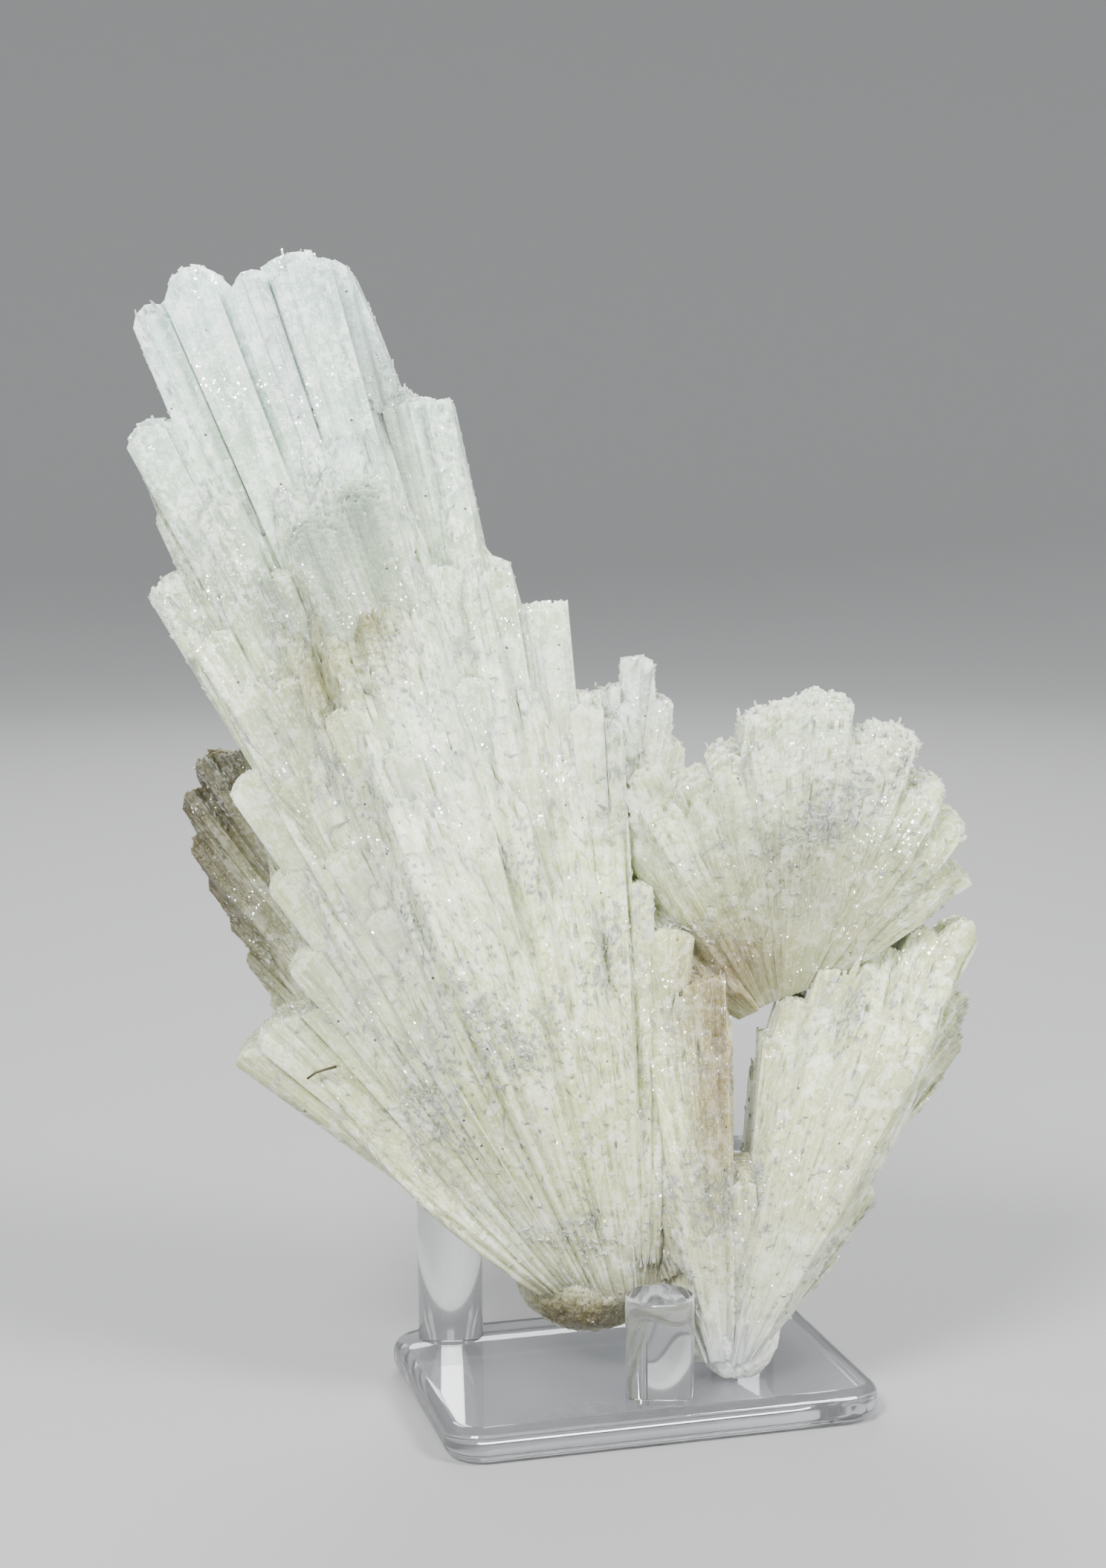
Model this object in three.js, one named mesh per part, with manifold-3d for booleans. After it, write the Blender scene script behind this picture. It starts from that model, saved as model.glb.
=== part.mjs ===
// A scolecite specimen on its display stand.
// The specimen is several sprays of flat-sided crystals that grew together into one solid.
// The stand is a clear plate with three clear pegs: the lowest tip of the specimen rests on
// the plate, the front peg stops it and it leans back against the two rear pegs.
// Millimetres. X runs along the plate, Y runs to the back, Z is up.
// The origin is the centre of the plate's underside.

import * as THREE from 'three';
import { mergeVertices } from 'three/addons/utils/BufferGeometryUtils.js';
import Module from 'manifold-3d';

const wasm = await Module();
wasm.setup();

// ---- stand ----
const PLATE_WIDTH = 62;
const PLATE_DEPTH = 44;
const PLATE_THICKNESS = 4.8;
const PLATE_CORNER_RADIUS = 5.5;
const PLATE_EDGE_ROUND = 1.9;
const PEG_DIAMETER = 9.5;
const PEG_EDGE_BEVEL = 0.35;
const PEG_SIDES = 24;
const FRONT_PEG_HEIGHT = 14.3;
const REAR_PEG_HEIGHT = 25.4;
const FRONT_PEG_Y = -15;
const REAR_PEG_Y = 16.5;
const REAR_PEG_X = 22.5;

// ---- specimen ----
const SPECIMEN_TURN = -14.6;   // degrees about Z, from the plate's own axes
const REST_GAP = 0.3;          // air left between the specimen and the stand
const CRYSTAL_SEED = 5;
const OVERLAP = 1.3;           // crystals are this much wider than their spacing
const ROW_JITTER = 0.07;       // how far a crystal's reach strays from its row's
const ROW_DEPTH = 0.14;        // front-to-back size of a row's crystal, as a share of its reach
const FOOT_SPREAD = 0.22;      // a row's feet move this far forward or back for each degree of lean
const CORE_SHARE = 0.34;       // the core reaches this share of the way to the outline
const CORE_LEAN = 6;           // degrees that the core leans past the outermost rows
const CORE_STATIONS = 7;
const START_SHARE = 0.2;       // crystals start inside the core, this share of the way out

// Each spray opens from a foot line (left end, right end) to a row of outline crystals,
// listed from left to right as [tip x, tip z, tip y, width, rise of the pointed end].
// Rows in front of the outline (lean below 0) and behind it repeat it, shorter.
// A row is [lean in degrees, share of the outline's reach, number of crystals].
// Front lists single crystals that stand on the front face, in the outline's form.
// Foot is the width and depth of a crystal at the foot line, as shares of those at its tip.
const SPRAYS = {
  greatFan: {
    feet: [[-11, -4, 16], [3.6, -4, 13]],
    depth: 13,
    foot: [0.3, 0.6],
    outline: [
      [-54.0, 52.8, -3, 5, 1.5], [-50.6, 56.7, -3, 5, 1.2], [-46.4, 57.8, -2, 5, 0.8],
      [-41.6, 54.4, -2, 5, 1.0], [-45.8, 66.6, 0, 6, 1.0], [-48.2, 78.0, 0, 6, 1.2],
      [-52.8, 91.4, 1, 7, 1.4], [-57.4, 110.6, 2, 6, 1.0], [-64.4, 117.8, 4, 5, 1.2],
      [-64.4, 126.6, 5, 3.4, 1.5], [-66.4, 138.8, 5, 6.6, 1.4], [-60.8, 137.6, 4, 6, 0.8],
      [-65.6, 153.0, 10, 4.6, 2.6], [-59.2, 159.0, 9, 8, 3.2],
      [-50.8, 158.6, 8, 5.4, 1.4], [-45.4, 160.6, 8, 6, 0.6], [-40.2, 160.0, 8, 6, 2.2],
      [-36.0, 152.0, 8, 3.4, 1.2], [-31.2, 142.4, 9, 4, 1.2], [-26.6, 140.6, 4, 6, 0.3],
      [-18.4, 119.2, 4, 5, 0.9], [-14.2, 112.2, 2, 4, 0.8], [-10.2, 110.0, 4, 4.6, 0.6],
      [-5.6, 100.4, 4, 4.6, 0.4], [-2.2, 97.0, 2, 4.4, 1.0], [1.8, 75.0, -1, 4, 0.6],
      [6.6, 68.6, -3, 5, 0.8],
    ],
    rows: [
      [-4, 0.74, 9], [-8.5, 0.66, 11], [-13, 0.55, 10], [-17, 0.42, 8],
      [3.5, 0.86, 7], [8, 0.7, 6], [12, 0.52, 4],
    ],
    front: [
      [-43.1, 126.5, -5.5, 7, 1.2], [-36.5, 131.2, -5, 8.5, 1.2],
      [-30.6, 104.4, -12, 9, 0.8], [-39.6, 101.4, -12, 8, 0.8], [-17.4, 111.6, -4, 6, 0.6],
      [-22.0, 92.0, -12, 6, 0.6], [-44.0, 84.0, -12, 7, 0.6],
    ],
  },
  centreColumn: {
    feet: [[9.6, -7, 5.5], [15, -7, 5]],
    depth: 11,
    foot: [0.6, 0.6],
    outline: [
      [-1.6, 40.0, -5, 5, 0.5], [3.4, 55.0, -4, 5, 0.6], [8.2, 61.2, -3, 5, 0.5],
      [11.8, 61.8, -2, 4.4, 0.4], [15.4, 36.0, -4, 3, 0.4],
    ],
    rows: [[-8, 0.74, 3], [14, 0.8, 3]],
    front: [],
  },
  rightFan: {
    feet: [[13.4, -7, 4.5], [16, -6, 6.5]],
    depth: 10,
    foot: [0.5, 0.6],
    outline: [
      [19.8, 53.0, -2, 2.6, 0.6], [23.4, 58.0, -1, 4, 0.8], [29.4, 62.0, 0, 6, 0.6],
      [35.6, 65.0, 0, 6, 0.6], [41.6, 67.0, 0, 5, 0.8], [47.0, 68.4, 0, 4.4, 1.6],
      [44.2, 57.2, 1, 4, 0.8], [40.4, 47.6, 1, 4, 0.8], [36.4, 39.4, 1, 4, 0.8],
      [33.2, 31.4, 0, 3.6, 1.0], [27.8, 22.6, -1, 3.6, 0.8], [22.8, 14.6, -3, 3.4, 0.8],
    ],
    rows: [
      [-6, 0.95, 6], [-11, 0.82, 6],
      [10, 0.88, 5], [30, 0.56, 4],
    ],
    front: [],
  },
  upperRightFan: {
    feet: [[16, 5, 54], [28, 1, 60]],
    depth: 9,
    foot: [0.4, 0.5],
    outline: [
      [2.0, 66.5, 1, 4, 0.5], [0.4, 72.0, 1, 4, 0.5],
      [-0.6, 78.0, 0, 4, 0.5], [-0.4, 84.0, -2, 4, 0.5], [2.0, 90.4, -2, 4.6, 0.8],
      [8.6, 90.0, -3, 4, 0.8], [13.2, 93.6, -4, 4.4, 1.0], [18.0, 98.2, -3, 4.4, 0.8],
      [22.2, 99.4, -3, 3.8, 0.8], [26.6, 101.2, -2, 4, 0.9], [30.0, 100.8, -2, 3, 0.4],
      [34.0, 96.0, -2, 3.4, 0.4], [38.0, 96.8, -2, 5, 0.5], [43.0, 89.6, -2, 4.4, 0.4],
      [46.0, 84.6, -2, 4.4, 0.8], [46.8, 76.4, 0, 4.4, 0.6],
    ],
    rows: [[-6, 0.97, 7], [-12, 0.92, 6], [11, 0.9, 5], [21, 0.72, 4]],
    front: [],
  },
  topSpray: {
    feet: [[-3, 8, 64], [1, 8, 62]],
    depth: 8,
    foot: [0.6, 0.6],
    outline: [
      [-3.6, 100.6, 9, 3.2, 0.6], [-0.4, 101.2, 9, 3, 0.3], [2.4, 104.8, 10, 3.6, 0.6],
      [5.8, 99.0, 10, 3.4, 0.8], [7.4, 92.8, 10, 3.4, 0.6], [10.6, 87.4, 9, 3.8, 0.5],
    ],
    rows: [[-14, 0.84, 3], [15, 0.86, 3]],
    front: [],
  },
  backLeftFan: {
    feet: [[-17, 2, 24], [-12, 3, 26]],
    depth: 8,
    foot: [0.4, 0.6],
    outline: [
      [-46.0, 51.0, 14, 4, 0.8], [-50.0, 57.0, 15, 4.4, 1.2], [-53.4, 62.8, 15, 4.4, 1.4],
      [-55.8, 68.6, 16, 4.4, 1.4], [-58.4, 74.0, 16, 4.4, 1.4], [-60.2, 80.0, 16, 4.4, 1.4],
      [-61.0, 86.0, 16, 4.4, 1.4], [-58.6, 91.6, 16, 5, 1.6], [-50.0, 95.0, 17, 7, 1.0],
      [-40.0, 93.0, 18, 8, 1.0], [-29.0, 86.0, 18, 8, 1.0],
    ],
    rows: [[6, 0.82, 5]],
    front: [],
  },
  backRightFan: {
    feet: [[19, 3, 18], [21, 4, 18]],
    depth: 8,
    foot: [0.5, 0.6],
    outline: [
      [28.0, 60.0, 15, 6, 0.8], [36.0, 60.6, 16, 6, 0.8], [43.0, 59.4, 16, 5, 0.8],
      [48.2, 54.8, 16, 3.8, 1.2], [47.6, 49.4, 15, 3.8, 1.2], [45.0, 44.6, 15, 3.8, 1.2],
      [42.0, 40.6, 14, 3.8, 1.0],
    ],
    rows: [],
    front: [],
  },
};

// The rounded lumps that the fans grew from: the great fan's, and the tip that the specimen
// rests on, which is the foot of the two right-hand fans. Each is [centre], [half sizes].
const KNOB = [[-5.8, -3.5, 19], [10.5, 7.5, 8.6]];
const RESTING_TIP = [[14, -6.8, 9.6], [5.2, 4.6, 6]];

// ---- random numbers that come out the same every time ----
function seededRandom(seed) {
  let state = seed >>> 0;
  return () => {
    state = (Math.imul(state, 1664525) + 1013904223) >>> 0;
    return state / 4294967296;
  };
}

// ---- solids ----
function solidFrom(vertices, triangles) {
  return new wasm.Manifold(new wasm.Mesh({
    numProp: 3,
    vertProperties: new Float32Array(vertices),
    triVerts: new Uint32Array(triangles),
  }));
}

const solidFromPoints = (points, triangles) => (
  solidFrom(points.flatMap((point) => point.toArray()), triangles));

function toSolid(geometry) {
  const bare = geometry.clone();
  bare.deleteAttribute('normal');
  bare.deleteAttribute('uv');
  const merged = mergeVertices(bare, 1e-4);
  return solidFrom(merged.attributes.position.array, merged.index.array);
}

function toGeometry(solid) {
  const { vertProperties, triVerts } = solid.getMesh();
  const geometry = new THREE.BufferGeometry();
  geometry.setAttribute('position', new THREE.BufferAttribute(vertProperties, 3));
  geometry.setIndex(new THREE.BufferAttribute(triVerts, 1));
  return geometry;
}

// ---- crystals ----
const BACKWARD = new THREE.Vector3(0, 1, 0);
const vector = ([x, y, z]) => new THREE.Vector3(x, y, z);
const leaning = (direction, lean) => direction.clone()
  .addScaledVector(BACKWARD, Math.tan(THREE.MathUtils.degToRad(lean))).normalize();

// One crystal: four flat sides widening from its start to its tip, with a flat end or, where
// rise is above 0, a low point on the end. footShare is its size at the foot line.
function crystalSolid({ foot, tip, footShare, width, depth, rise, tilt, roll }) {
  const axis = tip.clone().sub(foot).normalize();
  const across = new THREE.Vector3().crossVectors(BACKWARD, axis).normalize();
  across.applyAxisAngle(axis, roll);
  const through = new THREE.Vector3().crossVectors(axis, across);
  const start = foot.clone().lerp(tip, START_SHARE);
  const [startWidth, startDepth] = footShare.map((share) => (
    THREE.MathUtils.lerp(share, 1, START_SHARE)));
  const corners = [[-1, -1], [1, -1], [1, 1], [-1, 1]];
  const startPoints = corners.map(([u, v]) => start.clone()
    .addScaledVector(across, u * startWidth * width / 2)
    .addScaledVector(through, v * startDepth * depth / 2));
  const endPoints = corners.map(([u, v]) => tip.clone()
    .addScaledVector(across, u * width / 2)
    .addScaledVector(through, v * depth / 2)
    .addScaledVector(axis, u * tilt[0] + v * tilt[1] - rise));
  const triangles = [0, 2, 1, 0, 3, 2];
  for (let side = 0; side < 4; side += 1) {
    const next = (side + 1) % 4;
    triangles.push(side, next, 4 + next, side, 4 + next, 4 + side);
  }
  if (rise === 0) {
    return solidFromPoints([...startPoints, ...endPoints], [...triangles, 4, 5, 6, 4, 6, 7]);
  }
  const point = [4, 5, 8, 5, 6, 8, 6, 7, 8, 7, 4, 8];
  return solidFromPoints([...startPoints, ...endPoints, tip], [...triangles, ...point]);
}

// Where each outline crystal of a spray stands: its foot, tip, bearing and reach.
function outlinePlaces({ feet, outline }) {
  const [leftFoot, rightFoot] = feet.map(vector);
  return outline.map(([x, z, y], index) => {
    const foot = leftFoot.clone().lerp(rightFoot, index / (outline.length - 1));
    const tip = new THREE.Vector3(x, y, z);
    return { foot, tip, bearing: Math.atan2(x - foot.x, z - foot.z), reach: foot.distanceTo(tip) };
  });
}

const nearestPlace = (places, bearing) => places.reduce((best, place) => (
  Math.abs(place.bearing - bearing) < Math.abs(best.bearing - bearing) ? place : best));

// The outline's shortest reach near a bearing, so that nothing behind or in front sticks out.
function lowestReach(places, bearing, halfStep) {
  const beside = places.filter((place) => Math.abs(place.bearing - bearing) < halfStep);
  return Math.min(nearestPlace(places, bearing).reach, ...beside.map((place) => place.reach));
}

// The middle of a spray, where its crystals have grown into one mass: a wedge that opens from
// the foot line. It is a strip of stations from left to right with four points in each.
function coreSolid(spray) {
  const places = outlinePlaces(spray);
  const leans = [0, ...spray.rows.map(([lean]) => lean)];
  const frontLean = Math.min(...leans) - CORE_LEAN;
  const backLean = Math.max(...leans) + CORE_LEAN;
  const first = places[0].bearing;
  const step = (places.at(-1).bearing - first) / CORE_STATIONS;
  const points = [];
  for (let station = 0; station <= CORE_STATIONS; station += 1) {
    const bearing = first + step * station;
    const { foot, tip } = nearestPlace(places, bearing);
    const reach = lowestReach(places, bearing, step / 2) * CORE_SHARE;
    const level = (tip.y - foot.y) / foot.distanceTo(tip);
    const middle = new THREE.Vector3(Math.sin(bearing), level, Math.cos(bearing));
    for (const lean of [frontLean, backLean]) {
      const start = vector(spray.feet[0]).lerp(vector(spray.feet[1]), station / CORE_STATIONS)
        .addScaledVector(BACKWARD, lean * FOOT_SPREAD);
      points.push(start, start.clone().addScaledVector(leaning(middle, lean), reach));
    }
  }
  const quads = [[0, 1, 3, 2]];
  for (let station = 0; station < CORE_STATIONS; station += 1) {
    const here = 4 * station;
    const next = here + 4;
    quads.push([here, next, next + 1, here + 1], [here + 1, next + 1, next + 3, here + 3],
      [here + 2, here + 3, next + 3, next + 2], [here, here + 2, next + 2, next]);
  }
  const end = 4 * CORE_STATIONS;
  quads.push([end, end + 2, end + 3, end + 1]);
  return solidFromPoints(points, quads.flatMap(([a, b, c, d]) => [a, b, c, a, c, d]));
}

// The outline crystals of a spray, the single ones on its front, and the shorter rows.
function sprayCrystals(spray, random) {
  const jitter = (amount) => (random() * 2 - 1) * amount;
  const places = outlinePlaces(spray);
  const listed = ([x, z, y, width, rise], foot, depth) => ({
    foot,
    tip: new THREE.Vector3(x, y, z),
    footShare: spray.foot,
    width: width * OVERLAP,
    depth: depth * (1 + jitter(0.15)),
    rise,
    tilt: [jitter(width * 0.12), jitter(width * 0.2)],
    roll: jitter(0.14),
  });
  const crystals = spray.outline.map((entry, index) => (
    listed(entry, places[index].foot, spray.depth)));
  for (const entry of spray.front) {
    const [x, z, , width] = entry;
    const bearing = Math.atan2(x - spray.feet[0][0], z - spray.feet[0][2]);
    crystals.push(listed(entry, nearestPlace(places, bearing).foot, width));
  }
  const first = places[0].bearing;
  const span = places.at(-1).bearing - first;
  for (const [lean, share, crystalsInRow] of spray.rows) {
    const halfStep = span / crystalsInRow / 2;
    for (let place = 0; place < crystalsInRow; place += 1) {
      const bearing = first + (2 * place + 1 + jitter(0.4)) * halfStep;
      const nearest = nearestPlace(places, bearing);
      const reach = lowestReach(places, bearing, halfStep) * share * (1 + jitter(ROW_JITTER));
      const level = (nearest.tip.y - nearest.foot.y) / nearest.reach;
      const middle = new THREE.Vector3(Math.sin(bearing), level, Math.cos(bearing));
      const foot = nearest.foot.clone().addScaledVector(BACKWARD, lean * FOOT_SPREAD);
      const width = reach * 2 * halfStep * OVERLAP;
      crystals.push({
        foot,
        tip: foot.clone().addScaledVector(leaning(middle, lean), reach),
        footShare: spray.foot,
        width,
        depth: reach * ROW_DEPTH,
        rise: 0,
        tilt: [jitter(width * 0.15), jitter(width * 0.15)],
        roll: jitter(0.2),
      });
    }
  }
  return crystals;
}

// ---- stand pieces ----
function roundedRectangle(width, depth, radius) {
  const x = width / 2 - radius;
  const y = depth / 2 - radius;
  const shape = new THREE.Shape();
  shape.absarc(x, -y, radius, -Math.PI / 2, 0);
  shape.absarc(x, y, radius, 0, Math.PI / 2);
  shape.absarc(-x, y, radius, Math.PI / 2, Math.PI);
  shape.absarc(-x, -y, radius, Math.PI, Math.PI * 1.5);
  return shape;
}

function plateGeometry() {
  const inset = 2 * PLATE_EDGE_ROUND;
  const outline = roundedRectangle(
    PLATE_WIDTH - inset, PLATE_DEPTH - inset, PLATE_CORNER_RADIUS - PLATE_EDGE_ROUND);
  const geometry = new THREE.ExtrudeGeometry(outline, {
    depth: PLATE_THICKNESS - inset,
    bevelThickness: PLATE_EDGE_ROUND,
    bevelSize: PLATE_EDGE_ROUND,
    bevelSegments: 2,
    curveSegments: 4,
  });
  return geometry.translate(0, 0, PLATE_EDGE_ROUND);
}

function pegGeometry(height, radius = PEG_DIAMETER / 2) {
  const profile = [
    [0, 0], [radius, 0], [radius, height - PEG_EDGE_BEVEL],
    [radius - PEG_EDGE_BEVEL, height], [0, height],
  ].map(([r, z]) => new THREE.Vector2(r, z));
  return new THREE.LatheGeometry(profile, PEG_SIDES).rotateX(Math.PI / 2);
}

const PEGS = [
  { name: 'front_peg', x: 0, y: FRONT_PEG_Y, height: FRONT_PEG_HEIGHT },
  { name: 'rear_left_peg', x: -REAR_PEG_X, y: REAR_PEG_Y, height: REAR_PEG_HEIGHT },
  { name: 'rear_right_peg', x: REAR_PEG_X, y: REAR_PEG_Y, height: REAR_PEG_HEIGHT },
];

// Everything that the specimen must stay clear of, grown by the gap, in the plate's axes.
function standClearance() {
  const solids = PEGS.map((peg) => {
    const grown = pegGeometry(peg.height + 2 * REST_GAP, PEG_DIAMETER / 2 + REST_GAP);
    return toSolid(grown.translate(peg.x, peg.y, PLATE_THICKNESS - REST_GAP));
  });
  const slab = new THREE.BoxGeometry(3 * PLATE_WIDTH, 3 * PLATE_DEPTH, PLATE_THICKNESS);
  solids.push(toSolid(slab.translate(0, 0, PLATE_THICKNESS / 2 + REST_GAP)));
  return solids;
}

// ---- specimen ----
function specimenGeometry() {
  const random = seededRandom(CRYSTAL_SEED);
  const sprays = Object.values(SPRAYS);
  const crystals = sprays.flatMap((spray) => sprayCrystals(spray, random));
  const lumps = [KNOB, RESTING_TIP].map(([centre, halfSize]) => toSolid(
    new THREE.IcosahedronGeometry(1, 1).scale(...halfSize).translate(...centre)));
  let specimen = wasm.Manifold.union([
    ...crystals.map(crystalSolid), ...sprays.map(coreSolid), ...lumps,
  ]);
  const turnBack = new THREE.Matrix4().makeRotationZ(THREE.MathUtils.degToRad(-SPECIMEN_TURN));
  for (const solid of standClearance()) {
    specimen = specimen.subtract(solid.transform(turnBack.elements));
  }
  const pieces = specimen.decompose().sort((a, b) => b.volume() - a.volume());
  return toGeometry(pieces[0]);
}

// ---- materials ----
const scolecite = new THREE.MeshStandardMaterial({
  color: '#dcdfd2', roughness: 0.42, metalness: 0, flatShading: true,
});
const acrylic = new THREE.MeshStandardMaterial({
  color: '#dfe6e6', roughness: 0.05, metalness: 0, transparent: true, opacity: 0.35,
});

function namedMesh(name, geometry, material) {
  const mesh = new THREE.Mesh(geometry, material);
  mesh.name = name;
  return mesh;
}

const part = new THREE.Group();
part.add(namedMesh('stand_base', plateGeometry(), acrylic));
for (const peg of PEGS) {
  const mesh = namedMesh(peg.name, pegGeometry(peg.height), acrylic);
  mesh.position.set(peg.x, peg.y, PLATE_THICKNESS);
  part.add(mesh);
}
const turned = new THREE.Group();
turned.rotation.z = THREE.MathUtils.degToRad(SPECIMEN_TURN);
turned.add(namedMesh('scolecite', specimenGeometry(), scolecite));
part.add(turned);

export default part;
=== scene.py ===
"""The looks of the scolecite specimen on its clear acrylic stand.

The specimen is built in its own axes (X right, Y to the back, Z up, millimetres) and then
turned onto the stand. Each spray is a mesh of columns that open like a fan from a foot line:
a column runs along a bearing (left or right) and a lean (forward or back), and its reach is
how far out it ends.
"""

import math

import bmesh
import bpy
import numpy as np
from mathutils import Matrix, Vector, kdtree, noise
from mathutils.bvhtree import BVHTree


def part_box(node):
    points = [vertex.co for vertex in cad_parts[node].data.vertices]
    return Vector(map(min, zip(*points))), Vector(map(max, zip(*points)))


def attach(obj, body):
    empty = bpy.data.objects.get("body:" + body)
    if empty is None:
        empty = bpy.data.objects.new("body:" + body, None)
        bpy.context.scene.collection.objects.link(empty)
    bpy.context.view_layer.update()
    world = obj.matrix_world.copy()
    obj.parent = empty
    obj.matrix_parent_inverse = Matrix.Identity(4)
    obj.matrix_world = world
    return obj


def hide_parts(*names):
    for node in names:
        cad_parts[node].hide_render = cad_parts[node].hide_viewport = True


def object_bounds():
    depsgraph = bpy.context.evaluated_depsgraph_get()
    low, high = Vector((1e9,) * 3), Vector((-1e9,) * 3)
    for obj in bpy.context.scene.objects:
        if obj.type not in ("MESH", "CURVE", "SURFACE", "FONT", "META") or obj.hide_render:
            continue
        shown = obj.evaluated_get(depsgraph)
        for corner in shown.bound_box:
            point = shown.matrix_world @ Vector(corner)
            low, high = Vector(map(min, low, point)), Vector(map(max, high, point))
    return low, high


MM = 0.001
SPECIMEN_TURN = math.radians(-14.6)

# ---- the camera, in the row frame ----
CAMERA_AT = (-104.9, -362.0, 142.3)
CAMERA_TURN = math.radians(-14.61)
CAMERA_PITCH = math.radians(8.22)
CAMERA_ROLL = math.radians(-0.53)
LENS = 62.970995        # mm, for a sensor this high
SENSOR_HEIGHT = 36.0

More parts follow.
